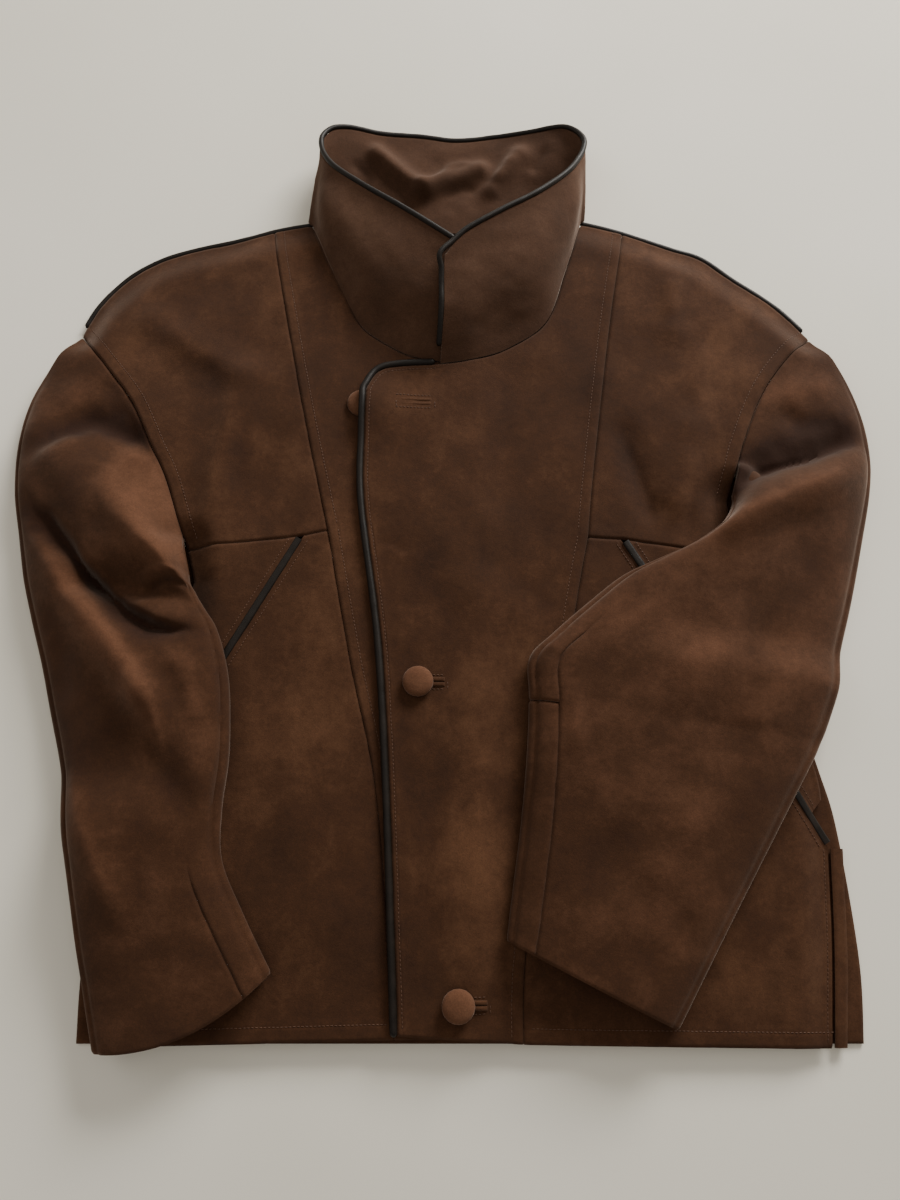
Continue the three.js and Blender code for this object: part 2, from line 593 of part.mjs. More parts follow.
function sleeveShape(table, half) {
  const column = (key) => table.rows.map((row) => row[key]);
  const along = (key, row) => {
    const values = column(key);
    const k = Math.min(Math.floor(row), values.length - 2);
    const p = [k - 1, k, k + 1, k + 2].map((n) => values[THREE.MathUtils.clamp(n, 0, values.length - 1)]);
    const t = row - k;
    return 0.5 * (2 * p[1] + (p[2] - p[0]) * t + (2 * p[0] - 5 * p[1] + 4 * p[2] - p[3]) * t * t
      + (3 * p[1] - p[0] - 3 * p[2] + p[3]) * t ** 3);
  };
  const armholePoints = half === RIGHT ? [...half.armhole, half.underarm[1]] : half.armhole;
  const armhole = planCurve(armholePoints, ARMHOLE_SAMPLES);
  const heightAt = half === RIGHT ? frontHeight : lapHeight;
  const support = supportUnder(half, heightAt);

  // Point on a row, t from the outer fold to the inner one
  function planAt(row, t) {
    const a = new THREE.Vector2(along('ox', row), along('oy', row));
    const b = new THREE.Vector2(along('ix', row), along('iy', row));
    const straight = a.clone().lerp(b, t);
    const normal = new THREE.Vector2(a.y - b.y, b.x - a.x).normalize();
    if (normal.y > 0) normal.negate();
    straight.addScaledVector(normal, along('bow', row) * 4 * t * (1 - t));
    const curved = Math.max(0, 1 - row / ARMHOLE_CURVE_ROWS);
    const k = Math.min(Math.floor(t * ARMHOLE_SAMPLES), ARMHOLE_SAMPLES - 1);
    const onArmhole = armhole[k].clone().lerp(armhole[k + 1], t * ARMHOLE_SAMPLES - k);
    const chord = armhole[0].clone().lerp(armhole[ARMHOLE_SAMPLES], t);
    straight.addScaledVector(onArmhole.sub(chord), curved);
    const outward = half === RIGHT ? -1 : 1;
    if (row === 0) straight.x += outward * ARMHOLE_GAP;
    return straight;
  }

  // Outer outline of one row as (distance from the outer fold, height) pairs, once round
  function outline(row) {
    const width = planAt(row, 0).distanceTo(planAt(row, 1));
    const fold = along('fold', row);
    const at = (u) => planAt(row, u / width);
    const span = width - 2 * fold;
    const seamAt = width - SEAM_FROM_EDGE;
    const topU = [];
    for (let k = 0; k < SLEEVE_TOP_CELLS; k += 1) topU.push(lerp(fold, seamAt, k / (SLEEVE_TOP_CELLS - 1)));
    topU.push(width - fold);
    const flat = 1 - smooth(0, ARMHOLE_BLEND_ROWS, row);
    const highestOf = (...places) => Math.max(...places.map((u) => support(at(u))));
    const outerBase = highestOf(0, fold / 2, fold);
    const innerBase = highestOf(width, width - fold / 2, width - fold);
    const topZ = (u) => {
      const p = at(u);
      const across = THREE.MathUtils.clamp((u - fold) / span, 0, 1);
      const crown = Math.sqrt(Math.max(0, 1 - Math.abs(2 * across - 1) ** 3));
      const edge = lerp(outerBase, innerBase, across) + 2 * fold;
      const tube = edge + (along('height', row) - 2 * fold) * crown;
      const seam = Math.max(heightAt(p.x, p.y), support(p) + 2 * fold);
      const creased = lerp(tube, seam, flat) + foldHeight(table.folds, p.x, p.y) * crown * (1 - flat);
      return Math.max(creased, support(p) + Math.min(2 * fold, 2 * WALL + MIN_SLEEVE_SPACE));
    };
    const ring = [];
    for (let k = 0; k <= SLEEVE_BOTTOM_CELLS; k += 1) {
      const u = fold + span * (k / SLEEVE_BOTTOM_CELLS);
      ring.push({ u, z: support(at(u)) });
    }
    ring[0].z = outerBase;
    ring.at(-1).z = innerBase;
    const turn = (centre, sign, low, high, angles) => angles.forEach((angle) => {
      const radians = THREE.MathUtils.degToRad(angle);
      const up = (1 + Math.sin(radians)) / 2;
      ring.push({ u: centre + sign * fold * Math.cos(radians), z: lerp(low, high, up) });
    });
    turn(width - fold, 1, innerBase, topZ(width - fold), FOLD_TURN);
    for (const u of [...topU].reverse()) ring.push({ u, z: topZ(u) });
    turn(fold, -1, outerBase, topZ(fold), [...FOLD_TURN].reverse());
    return { ring, at };
  }

  // Both faces of the wall for one row
  function wallRow(row) {
    const { ring, at } = outline(row);
    const count = ring.length;
    const inner = ring.map((p, k) => {
      const before = ring[(k + count - 1) % count];
      const after = ring[(k + 1) % count];
      const unit = (a, b) => new THREE.Vector2(b.u - a.u, b.z - a.z).normalize();
      const [d0, d1] = [unit(before, p), unit(p, after)];
      const inward = new THREE.Vector2(-d0.y - d1.y, d0.x + d1.x).normalize();
      const reach = WALL / Math.max(SHARPEST_MITRE, inward.dot(new THREE.Vector2(-d0.y, d0.x)));
      return { u: p.u + inward.x * reach, z: p.z + inward.y * reach };
    });
    const place = ({ u, z }) => {
      const p = at(u);
      return new THREE.Vector3(p.x, p.y, z);
    };
    return { outer: ring.map(place), inner: inner.map(place) };
  }
  return wallRow;
}

// One cloth piece of a sleeve: ring points first to last, over the given rows
function sleevePiece(wallRow, rowList, first, count) {
  const strip = rowList.map((row) => {
    const wall = wallRow(row);
    const total = wall.outer.length;
    const pick = (points) => {
      const chosen = Array.from({ length: count }, (_, k) => points[(first + k) % total].clone());
      const start = chosen[1].clone().sub(chosen[0]).setLength(HALF_GAP);
      const end = chosen.at(-2).clone().sub(chosen.at(-1)).setLength(HALF_GAP);
      chosen[0].add(start);
      chosen.at(-1).add(end);
      return chosen;
    };
    return { outer: pick(wall.outer), inner: pick(wall.inner) };
  });
  return wallGeometry(strip.map((s) => s.outer), strip.map((s) => s.inner));
}

function sleeve(side, half, table) {
  const wallRow = sleeveShape(table, half);
  const lastRow = table.rows.length - 1;
  const rowsBetween = (from, to) => {
    const rows = [from];
    for (let row = Math.floor(from) + 1; row < to - SHORTEST_ROW; row += 1) rows.push(row);
    return [...rows, to];
  };
  const lowerSeam = 2;
  const upperSeam = SLEEVE_BOTTOM_CELLS + 1 + FOLD_TURN.length + 1;
  const total = SLEEVE_BOTTOM_CELLS + 1 + SLEEVE_TOP_CELLS + 1 + 2 * FOLD_TURN.length;
  const underCount = upperSeam - lowerSeam + 1;
  const topCount = total - underCount + 2;
  const top = sleevePiece(wallRow, rowsBetween(0, lastRow), upperSeam, topCount);
  const made = [mesh(`sleeve_${side}_top`, top, SUEDE)];
  if (side === 'left') {
    const gusset = rowsBetween(0, GUSSET_END_ROW - ROW_HALF_GAP);
    const under = rowsBetween(GUSSET_END_ROW + ROW_HALF_GAP, lastRow);
    made.push(
      mesh('sleeve_left_gusset', sleevePiece(wallRow, gusset, lowerSeam, underCount), SUEDE),
      mesh('sleeve_left_under', sleevePiece(wallRow, under, lowerSeam, underCount), SUEDE),
    );
  } else {
    const under = sleevePiece(wallRow, rowsBetween(0, lastRow), lowerSeam, underCount);
    made.push(mesh(`sleeve_${side}_under`, under, SUEDE));
  }
  return made;
}

// Collar: one strip of cloth round the neck, from the neckline seam up to its rim

function collarColumns() {
  const onPanel = (half, heightAt) => planCurve(half.neckline, CELLS.neck)
    .map((p) => new THREE.Vector3(p.x, p.y, heightAt(p.x, p.y) - HALF_WALL));
  const under = onPanel(RIGHT, frontHeight).reverse();
  const over = onPanel(LEFT, lapHeight).reverse();
  const back = spaceCurve(BACK_BASE, COLLAR_BACK_COLUMNS);
  const join = (front, rim, bulge) => front.map((base, k) => ({ base, rim: rim[k], bulge }));
  return [
    ...join(under, spaceCurve(UNDER_RIM, CELLS.neck), COLLAR_BULGE).slice(0, -1),
    ...join(back, spaceCurve(BACK_RIM, COLLAR_BACK_COLUMNS), 0),
    ...join(over, spaceCurve(OVER_RIM, CELLS.neck), COLLAR_BULGE).slice(1),
  ];
}

function collarMiddle() {
  const columns = collarColumns();
  const straight = columns.map(({ base, rim }) => Array.from(
    { length: COLLAR_ROWS + 1 },
    (_, k) => base.clone().lerp(rim, k / COLLAR_ROWS),
  ));
  const normals = gridNormals(straight);
  return straight.map((points, i) => points.map((p, k) => {
    const v = k / COLLAR_ROWS;
    const bow = columns[i].bulge * Math.sin(Math.PI * v) ** 2;
    const out = normals[i][k].clone().multiplyScalar(bow);
    const creased = columns[i].bulge === 0 ? smooth(...CREASE_START, v) : 0;
    const crease = foldHeight(COLLAR_CREASES, p.x, p.y) * creased;
    return p.clone().add(out).add(new THREE.Vector3(0, 0, crease));
  }));
}

function collar() {
  const middle = collarMiddle();
  const normals = gridNormals(middle);
  const face = (amount) => middle.map((column, i) => column.map((p, k) => {
    const offset = normals[i][k].clone().multiplyScalar(amount);
    const moved = p.clone().add(offset);
    if (k === 0) {
      // The base stays on the neck's side of the neckline seam
      const along = middle[Math.min(i + 1, middle.length - 1)][0].clone().sub(middle[Math.max(i - 1, 0)][0]);
      const inside = new THREE.Vector3(-along.y, along.x, 0).normalize();
      if (inside.dot(new THREE.Vector3(NECK_MIDDLE.x - p.x, NECK_MIDDLE.y - p.y, 0)) < 0) inside.negate();
      moved.addScaledVector(inside, SEAM_GAP + Math.max(0, -inside.dot(offset)));
    }
    moved.z = Math.max(0, moved.z);
    return moved;
  }));
  return mesh('collar', wallGeometry(face(HALF_WALL), face(-HALF_WALL)), SUEDE);
}

// Piping: a round cord of leather along an edge

function pipingGeometry(points) {
  const curve = new THREE.CatmullRomCurve3(points, false, 'centripetal');
  const section = new THREE.Shape(Array.from({ length: PIPING_SIDES }, (_, k) => {
    const turn = (k / PIPING_SIDES) * Math.PI * 2;
    return new THREE.Vector2(Math.cos(turn), Math.sin(turn)).multiplyScalar(PIPING_RADIUS);
  }));
  const steps = Math.round(curve.getLength() / PIPING_STEP);
  return new THREE.ExtrudeGeometry(section, { steps, extrudePath: curve, bevelEnabled: false });
}

// Step off a cloth edge, square to the edge and away from the cloth
function beyond(end, inside, before, after) {
  const along = after.clone().sub(before).normalize();
  const away = end.clone().sub(inside);
  away.addScaledVector(along, -away.dot(along));
  return end.clone().add(away.setLength(PIPING_RADIUS + 2 * SEAM_GAP));
}

function collarPiping() {
  const middle = collarMiddle();
  const last = middle.length - 1;
  const rim = middle.map((column, i) => beyond(
    column[COLLAR_ROWS],
    column[COLLAR_ROWS - 1],
    middle[Math.max(i - 1, 0)][COLLAR_ROWS],
    middle[Math.min(i + 1, last)][COLLAR_ROWS],
  ));
  const front = middle[last].map((p, k) => beyond(
    p,
    middle[last - 1][k],
    middle[last][Math.max(k - 1, 0)],
    middle[last][Math.min(k + 1, COLLAR_ROWS)],
  ));
  const corner = rim[last].clone().add(front[COLLAR_ROWS]).sub(middle[last][COLLAR_ROWS]);
  const line = [...rim.slice(1), corner, ...front.slice(1).reverse()];
  return mesh('collar_piping', pipingGeometry(line), LEATHER);
}

function placketPiping() {
  const reach = PIPING_RADIUS + SEAM_GAP;
  const top = planCurve([...LEFT.lapTop].reverse(), PLACKET_CELLS.top);
  const line = chain(top, planCurve(LEFT.frontEdge, PLACKET_CELLS.edge));
  const points = line.slice(1).map((p, k) => {
    const before = line[k];
    const after = line[Math.min(k + 2, line.length - 1)];
    const outward = new THREE.Vector2(after.y - before.y, before.x - after.x).setLength(reach);
    return new THREE.Vector3(p.x + outward.x, p.y + outward.y, lapHeight(p.x, p.y) - HALF_WALL);
  });
  return mesh('placket_piping', pipingGeometry(points), LEATHER);
}

function shoulderPiping(side, half) {
  const reach = PIPING_RADIUS + SEAM_GAP;
  const line = SHOULDERS[half === RIGHT ? 0 : 1];
  const points = line.slice(1, -1).map((p, k) => {
    const along = line[k + 2].clone().sub(line[k]).normalize();
    const outward = new THREE.Vector2(-along.y, along.x);
    if (outward.y < 0) outward.negate();
    return new THREE.Vector3(p.x + outward.x * reach, p.y + outward.y * reach, SHOULDER_EDGE_Z / 2);
  });
  return mesh(`shoulder_piping_${side}`, pipingGeometry(points), LEATHER);
}

// Pocket welts: a leather strip set into the slanted pocket seam

function pocketWelt(side, half, heightAt) {
  const start = new THREE.Vector2(...half.weltTop);
  const end = new THREE.Vector2(...half.weltEnd);
  const along = end.clone().sub(start).normalize();
  const across = new THREE.Vector2(-along.y, along.x);
  const from = start.clone().addScaledVector(along, WELT_WIDTH / 2);
  const to = end.clone().addScaledVector(along, -WELT_WIDTH);
  const shares = [-1, -WELT_CROWN, WELT_CROWN, 1];
  const outer = Array.from({ length: WELT_CELLS + 1 }, (_, i) => shares.map((share) => {
    const p = from.clone().lerp(to, i / WELT_CELLS).addScaledVector(across, share * (WELT_WIDTH / 2));
    const proud = Math.abs(share) < 1 ? WELT_PROUD : WELT_EDGE_PROUD;
    return new THREE.Vector3(p.x, p.y, heightAt(p.x, p.y) + proud);
  }));
  const inner = outer.map((row) => row.map((p) => new THREE.Vector3(p.x, p.y, p.z - WALL)));
  return mesh(`pocket_welt_${side}`, wallGeometry(outer, inner), LEATHER);
}

// Buttons and buttonholes

function highest(heightAt, x, y, radius) {
  let z = heightAt(x, y);
  for (let k = 0; k < BUTTON_SEGMENTS; k += 1) {
    const turn = (k / BUTTON_SEGMENTS) * Math.PI * 2;
    z = Math.max(z, heightAt(x + radius * Math.cos(turn), y + radius * Math.sin(turn)));
  }
  return z;
}

function button({ name, x, y, tucked }) {
  const height = tucked ? TUCKED_BUTTON_HEIGHT : BUTTON_HEIGHT;
  const profile = BUTTON_PROFILE.map(([r, z]) => new THREE.Vector2(r * BUTTON_RADIUS, z * height));
  const geometry = new THREE.LatheGeometry(profile, BUTTON_SEGMENTS).rotateX(Math.PI / 2);
  const made = mesh(`button_${name}`, geometry, SUEDE);
  const floor = tucked
    ? highest(frontHeight, x, y, BUTTON_RADIUS) + SEAM_GAP
    : highest(lapHeight, x, y, BUTTON_RADIUS) + HOLE_THICKNESS + 2 * SEAM_GAP;
  made.position.set(x, y, floor);
  return made;
}

function buttonhole({ name, x, y }) {
  const { along, across } = HOLE_CELLS;
  const outer = Array.from({ length: along + 1 }, (_, i) => Array.from({ length: across + 1 }, (__, j) => {
    const px = x + HOLE_LENGTH * (i / along - 0.5);
    const py = y + HOLE_WIDTH * (j / across - 0.5);
    return new THREE.Vector3(px, py, lapHeight(px, py) + SEAM_GAP + HOLE_THICKNESS);
  }));
  const inner = outer.map((row) => row.map((p) => new THREE.Vector3(p.x, p.y, p.z - HOLE_THICKNESS)));
  return mesh(`buttonhole_${name}`, wallGeometry(outer, inner), SUEDE);
}

const jacket = new THREE.Group();
jacket.add(
  backPanel(),
  ...fronts(),
  sideStrip(),
  ...sleeve('right', RIGHT, RIGHT_SLEEVE),
  ...sleeve('left', LEFT, LEFT_SLEEVE),
  collar(),
  collarPiping(),
  placketPiping(),
  shoulderPiping('right', RIGHT),
  shoulderPiping('left', LEFT),
  pocketWelt('right', RIGHT, frontHeight),
  pocketWelt('left', LEFT, lapHeight),
  ...BUTTONS.map(button),
  ...BUTTONHOLES.map(buttonhole),
);

export default jacket;
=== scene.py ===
"""A suede jacket with a stand-up collar, laid on its back with both sleeves folded over the front.

The tables and functions work in millimetres in the part's own frame: +X towards the wearer's left
sleeve, +Y from hem to collar, +Z up from the surface that the jacket lies on. Meshes are in metres.
"""
import math

import bpy
import numpy as np
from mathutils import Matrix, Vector
from mathutils.bvhtree import BVHTree


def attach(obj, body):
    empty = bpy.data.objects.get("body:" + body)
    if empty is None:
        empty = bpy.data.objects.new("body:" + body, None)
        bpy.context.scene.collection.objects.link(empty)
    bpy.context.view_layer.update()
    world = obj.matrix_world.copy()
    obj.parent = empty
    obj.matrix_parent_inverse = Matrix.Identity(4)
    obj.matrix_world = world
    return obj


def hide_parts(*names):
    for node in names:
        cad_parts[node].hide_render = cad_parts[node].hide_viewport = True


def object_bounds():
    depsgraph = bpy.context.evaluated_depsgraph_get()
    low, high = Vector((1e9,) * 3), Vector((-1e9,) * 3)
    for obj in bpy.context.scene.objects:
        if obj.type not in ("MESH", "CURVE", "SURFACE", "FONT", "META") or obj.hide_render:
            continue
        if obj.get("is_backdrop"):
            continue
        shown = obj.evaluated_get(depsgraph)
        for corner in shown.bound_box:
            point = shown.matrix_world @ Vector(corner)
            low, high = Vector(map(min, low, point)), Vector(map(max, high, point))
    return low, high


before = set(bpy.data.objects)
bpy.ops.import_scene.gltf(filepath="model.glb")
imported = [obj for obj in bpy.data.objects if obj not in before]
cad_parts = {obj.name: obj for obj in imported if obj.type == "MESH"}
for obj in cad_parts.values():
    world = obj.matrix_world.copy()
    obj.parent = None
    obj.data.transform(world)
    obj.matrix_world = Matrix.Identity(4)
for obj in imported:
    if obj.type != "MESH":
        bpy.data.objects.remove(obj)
cad_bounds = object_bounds()

MM = 0.001

# Cloth and seams, as the part has them
WALL = 2.5
HALF_WALL = WALL / 2
SEAM_GAP = 0.3
HALF_GAP = SEAM_GAP / 2
ARMHOLE_GAP = 0.5
HEM_Z = 11
CHEST_Z = 15
SIDE_EDGE_Z = 6.8
SHOULDER_EDGE_Z = 6.3
HEM_RISE_LENGTH = 90
EDGE_ROLL = 30
ARMHOLE_RAISE = 6
ARMHOLE_RAISE_WIDTH = 38
HEM_Y = -350
LAP_LIFT = 3.6
LAP_FULL_TO_X = 10
LAP_DONE_AT_X = 46
LAP_BUMP = {"x": -77, "y": 153, "height": 7, "width": 27}
SLEEVE_CLEARANCE = 1.6
SUPPORT_PLATEAU = 24
SUPPORT_FALL = 24
SUPPORT_MARGIN = 20
SEAM_FROM_EDGE = 22
MIN_SLEEVE_SPACE = 2.2
ARMHOLE_BLEND_ROWS = 3
ARMHOLE_CURVE_ROWS = 4
GUSSET_END_ROW = 10
ROW_HALF_GAP = 0.006
UNDER_SEAM_SHARE = 0.2
COLLAR_BULGE = 6
NECK_MIDDLE = (-8, 345)
PIPING_RADIUS = 2
WELT_WIDTH = 5
WELT_CROWN = 1.9
WELT_LAP = 0.7
BUTTON_RADIUS = 12

# Seam lines of each front seen from above
RIGHT = {
    "shoulder_inner": [(-164, 327), (-147, 331), (-130, 334)],
    "shoulder_outer": [
        (-164, 327), (-197, 317), (-230, 309), (-262, 298), (-290, 280), (-314, 252), (-328, 222),
    ],
    "neckline": [(-130, 334), (-114, 293), (-97, 256), (-82, 227), (-61, 210), (-35, 197), (6, 190)],
    "armhole": [(-328, 222), (-297, 184), (-273, 152), (-253, 111), (-239, 81), (-221, 25)],
    "underarm": [(-221, 25), (-214, -2)],
    "princess_top": [(-164, 327), (-153, 265), (-128, 141), (-105, 40)],
    "princess_low": [(-105, 40), (-84, -68), (-63, -161), (-51, -270), (-45, -345)],
    "front_edge": [(6, 190), (7, -80), (8, -345)],
    "side": [(-214, -2), (-246, -110), (-262, -203), (-268, -290), (-266, -350)],
    "back_armhole": [
        (-328, 222), (-297, 184), (-273, 152), (-253, 111), (-239, 81), (-225, 36), (-230, 18), (-234, -8),
    ],
    "back_side": [(-234, -8), (-252, -110), (-270, -203), (-278, -290), (-277, -349)],
    "welt_top": (-127, 35),
    "welt_end": (-262, -203),
    "pocket_tip_side": (-257.5, -178),
    "pocket_tip_welt": (-252.6, -186),
    "yoke_end": (-221, 25),
}
LEFT = {
    "shoulder_inner": [(151, 325), (132, 331), (113, 336)],
    "shoulder_outer": [(151, 325), (193, 309), (220, 299), (246, 278), (282, 250), (310, 219)],
    "neckline": [(-13, 189), (16, 194), (46, 206), (79, 231), (97, 280), (113, 336)],
    "armhole": [(310, 219), (284, 194), (260, 161), (240, 116), (231, 86), (226, 66)],
    "underarm": [(226, 66), (232, 18)],
    "princess_top": [(151, 325), (135, 234), (115, 94), (108, 34)],
    "princess_low": [(108, 34), (96, -25), (72, -161), (51, -283), (48, -348)],
    "lap_top": [(-76, 163), (-66, 181), (-47, 187), (-13, 189)],
    "front_edge": [(-76, 163), (-77, 126), (-76, 64), (-60, -52), (-51, -176), (-43, -342)],
    "side": [(232, 18), (256, -60), (278, -150), (284, -212), (280, -280), (273, -351)],
    "back_armhole": [(310, 219), (284, 194), (260, 161), (240, 116), (234, 98), (240, 82), (244, 60)],
    "back_side": [(244, 60), (259, -60), (282, -150), (292, -198), (299, -291), (296, -349)],
    "welt_top": (137, 32.2),
    "welt_end": (284, -212),
    "pocket_tip_side": (281, -175),
    "pocket_tip_welt": (269.3, -187.6),
    "yoke_end": (232, 18),
}
BACK_NECK = [(-130, 334), (-60, 329), (0, 328), (60, 329), (113, 336)]

# Main soft ridges and troughs of the fronts: ends, height and half width
FRONT_FOLDS = [
    ((-262, 231), (-180, 182), 4, 17),
    ((-184, 176), (-209, 0), 4, 15),
    ((-150, 120), (-165, 60), -2, 18),
    ((193, 276), (188, 225), 3, 14),
    ((143, 123), (163, 60), -3, 13),
    ((199, 130), (176, 70), 4, 15),
    ((-30, 60), (30, -30), 1.5, 26),
    ((-150, -120), (-110, -260), 1.5, 30),
]

# Finer creases of the fronts: path, height, half width on the left and the right of the path
FRONT_CREASES = [
    ([(-181, 180), (-193, 130), (-194, 84), (-203, 30)], 1.6, 5, 12),
    ([(-256, 232), (-226, 205), (-184, 186)], 1.5, 6, 12),
    ([(-170, 150), (-181, 110), (-184, 70)], -1.4, 6, 6),
    ([(-150, 250), (-160, 205), (-152, 170)], -0.9, 12, 9),
    ([(140, 128), (151, 90), (164, 38)], -1.7, 4, 11),
    ([(200, 116), (188, 78), (172, 40)], 1.6, 7, 10),
    ([(192, 276), (190, 254), (187, 232)], 1.4, 6, 9),
    ([(214, 218), (205, 170), (214, 130)], 1.2, 12, 8),
    ([(-67, 30), (-50, 26), (-37, 19)], -0.9, 2.6, 2.6),
    ([(-60, 26), (-48, 21), (-38, 13)], 0.6, 4, 3),
    ([(-30, 120), (10, 60), (58, 22)], 0.9, 16, 12),
    ([(0, 40), (46, -6), (84, -30)], -0.7, 9, 14),
    ([(20, -120), (12, -190), (24, -262)], 0.8, 12, 9),
    ([(-20, -150), (-26, -230), (-12, -300)], -0.6, 8, 12),
    ([(-110, -30), (-138, -92), (-146, -160)], -0.9, 12, 16),
    ([(-90, -110), (-104, -180), (-98, -262)], 0.8, 14, 10),
    ([(-200, -190), (-176, -250), (-184, -312)], 0.9, 12, 12),
    ([(120, -300), (180, -316), (240, -296)], 0.8, 10, 12),
    ([(210, -150), (232, -200), (244, -262)], 0.9, 10, 12),
]

# Sleeve rows from armhole to cuff: outer fold, inner fold, height of the tube, radius of the fold, bow
RIGHT_ROWS = {
    "ox": [-328, -350, -365, -371, -369, -361, -353, -342, -330, -319, -306, -295, -284, -272, -259],
    "oy": [222, 188, 158, 120, 76, 36, 0, -36, -72, -110, -154, -200, -248, -300, -352],
    "ix": [-214, -213, -211, -208, -204, -198, -190, -183, -177, -174, -173, -176, -174, -156, -134],
    "iy": [-2, -6, -10, -14, -21, -30, -42, -60, -84, -112, -146, -184, -220, -258, -298],
    "height": [20, 27, 31, 32, 28, 25, 25, 27, 28, 27, 26, 24, 22, 20, 18],
    "fold": [3.1, 4, 5, 6, 6, 6, 6, 6, 6, 6, 6, 6, 5, 5, 5],
    "bow": [0, 0, 0, 0, 0, 0, 0, 0, 0, 0, 0, 2, 5, 10, 15],
}
LEFT_ROWS = {
    "ox": [310, 335, 347, 350, 346, 334, 321, 310, 300, 290, 276, 252, 225, 196, 158],
    "oy": [219, 178, 143, 108, 74, 28, -18, -52, -82, -108, -138, -178, -223, -271, -337],
    "ix": [226, 226, 221.5, 212, 189, 160, 133, 106, 77, 57, 56, 53, 48, 42, 36],
    "iy": [66, 61, 51, 40, 25, 12, -1, -22, -47, -68, -101, -147, -194, -235, -276],
    "height": [20, 26, 30, 31, 30, 29, 28, 28, 27, 26, 25, 24, 22, 20, 18],
    "fold": [3.1, 4, 5, 6, 6, 6, 6, 6, 6, 6, 6, 6, 5, 5, 5],
    "bow": [0] * 15,
}
RIGHT_SLEEVE_FOLDS = [
    ((-372, 62), (-239, -97), 5, 15),
    ((-239, -97), (-176, -168), 5, 15),
    ((-304, -146), (-246, -250), 4, 14),
    ((-300, -6), (-205, -22), -9, 11),
    ((-360, 150), (-273, 131), -4, 14),
    ((-352, 104), (-318, 26), -4, 13),
    ((-238, 84), (-218, 20), 5, 15),
]
LEFT_SLEEVE_FOLDS = [
    ((222, 74), (342, 122), -8, 12),
    ((215, 42), (345, 92), 5, 15),
    ((250, -60), (160, -150), -3, 22),
    ((200, -130), (120, -230), -3, 20),
]
RIGHT_SLEEVE_CREASES = [
    ([(-356, 80), (-340, 52), (-317, 30), (-277, -15), (-236, -40), (-186, -50)], -10, 5, 14),
    ([(-322, 34), (-277, -15), (-238, -41), (-196, -48)], -4, 2.5, 4),
    ([(-284, 118), (-262, 84), (-240, 44), (-222, -4)], 6, 26, 24),
    ([(-352, 66), (-337, 50), (-304, 0), (-251, -75), (-228, -116), (-214, -176)], 5.5, 7, 20),
    ([(-362, 92), (-334, 118), (-300, 128), (-266, 120), (-240, 96)], -6, 17, 9),
    ([(-246, -18), (-232, -8), (-220, -10), (-206, -16)], -2.6, 2.5, 3),
    ([(-248, -8), (-234, 1), (-220, 0), (-208, -6)], 1.8, 3, 3),
    ([(-252, -26), (-238, -22), (-224, -22)], 1.4, 3, 3),
    ([(-304, -147), (-266, -212), (-243, -255)], 2.2, 7, 14),
    ([(-330, -20), (-312, -58), (-300, -110)], -2.2, 14, 10),
    ([(-232, -60), (-206, -84), (-190, -126)], 2.4, 10, 9),
    ([(-240, -130), (-214, -160), (-196, -200)], -2.0, 9, 12),
    ([(-222, -210), (-212, -250), (-206, -286)], 1.2, 9, 10),
    ([(-290, -230), (-270, -280), (-262, -320)], -1.3, 9, 12),
    ([(-330, 180), (-322, 150), (-318, 124)], 1.6, 9, 12),
    ([(-298, 176), (-288, 150), (-280, 136)], -1.4, 9, 9),
    ([(-300, 96), (-286, 60), (-280, 26)], -1.6, 9, 12),
    ([(-256, 92), (-250, 64), (-254, 30)], 1.2, 6, 7),
]
LEFT_SLEEVE_CREASES = [
    ([(214, 62), (240, 82), (270, 93), (318, 112), (346, 116)], -10, 24, 6),
    ([(222, 70), (248, 86), (276, 95), (316, 110)], -3, 3, 3),
    ([(186, 20), (222, 44), (272, 64), (330, 88)], 4.5, 10, 18),
    ([(244, 144), (282, 164), (330, 168)], 3, 14, 14),
    ([(262, 150), (292, 132), (330, 138)], -2.4, 10, 12),
    ([(300, 30), (262, -20), (214, -62)], -2.0, 14, 18),
    ([(240, -20), (196, -70), (160, -96)], 1.8, 14, 16),
    ([(276, -40), (240, -96), (206, -134)], 1.6, 13, 14),
    ([(180, -96), (140, -130), (112, -170)], -1.6, 14, 14),
    ([(206, -160), (166, -206), (140, -252)], 1.5, 12, 14),
    ([(126, -190), (104, -226), (92, -262)], -1.2, 10, 12),
    ([(176, -250), (146, -278), (124, -300)], -1.2, 10, 12),
    ([(90, -84), (88, -112), (90, -146)], 1.6, 7, 10),
    ([(74, -60), (66, -74), (62, -92)], -1.2, 4, 5),
    ([(150, -20), (128, -44), (104, -62)], 1.2, 9, 9),
]

# Collar: the rim's points in space, and the neck seam at the back
UNDER_RIM = [(10, 277, 51), (-5, 288, 51), (-47, 319, 49), (-78, 342, 45), (-110, 371, 38), (-121, 392, 31)]
BACK_RIM = [
    (-121, 392, 31), (-120, 408, 28), (-112, 420, 25), (-98, 425, 21), (-69, 425, 13), (-32, 426, 8),
    (0, 423, 6), (41, 426, 8), (77, 425, 17), (97, 423, 24), (109, 413, 29), (115, 398, 33), (113, 384, 36),
]
OVER_RIM = [(113, 384, 36), (100, 360, 44), (72, 332, 52), (37, 309, 56), (4, 286, 57), (-10, 268, 56)]
BACK_BASE = [
    (-130, 334.4, 5), (-133.5, 336, 3.2), (-129, 336.5, 1.4), (-95, 333, 1.3), (-50, 329.6, 1.3),
    (0, 328.6, 1.3), (50, 329.6, 1.3), (80, 333, 1.3), (112, 338.5, 1.4), (116.5, 338, 3.2), (113, 336.4, 5),
]
COLLAR_FOLDS = [
    ((-72, 405), (-30, 372), 7, 9),
    ((-30, 372), (22, 392), 8, 9),
    ((34, 372), (58, 404), 6, 9),
]
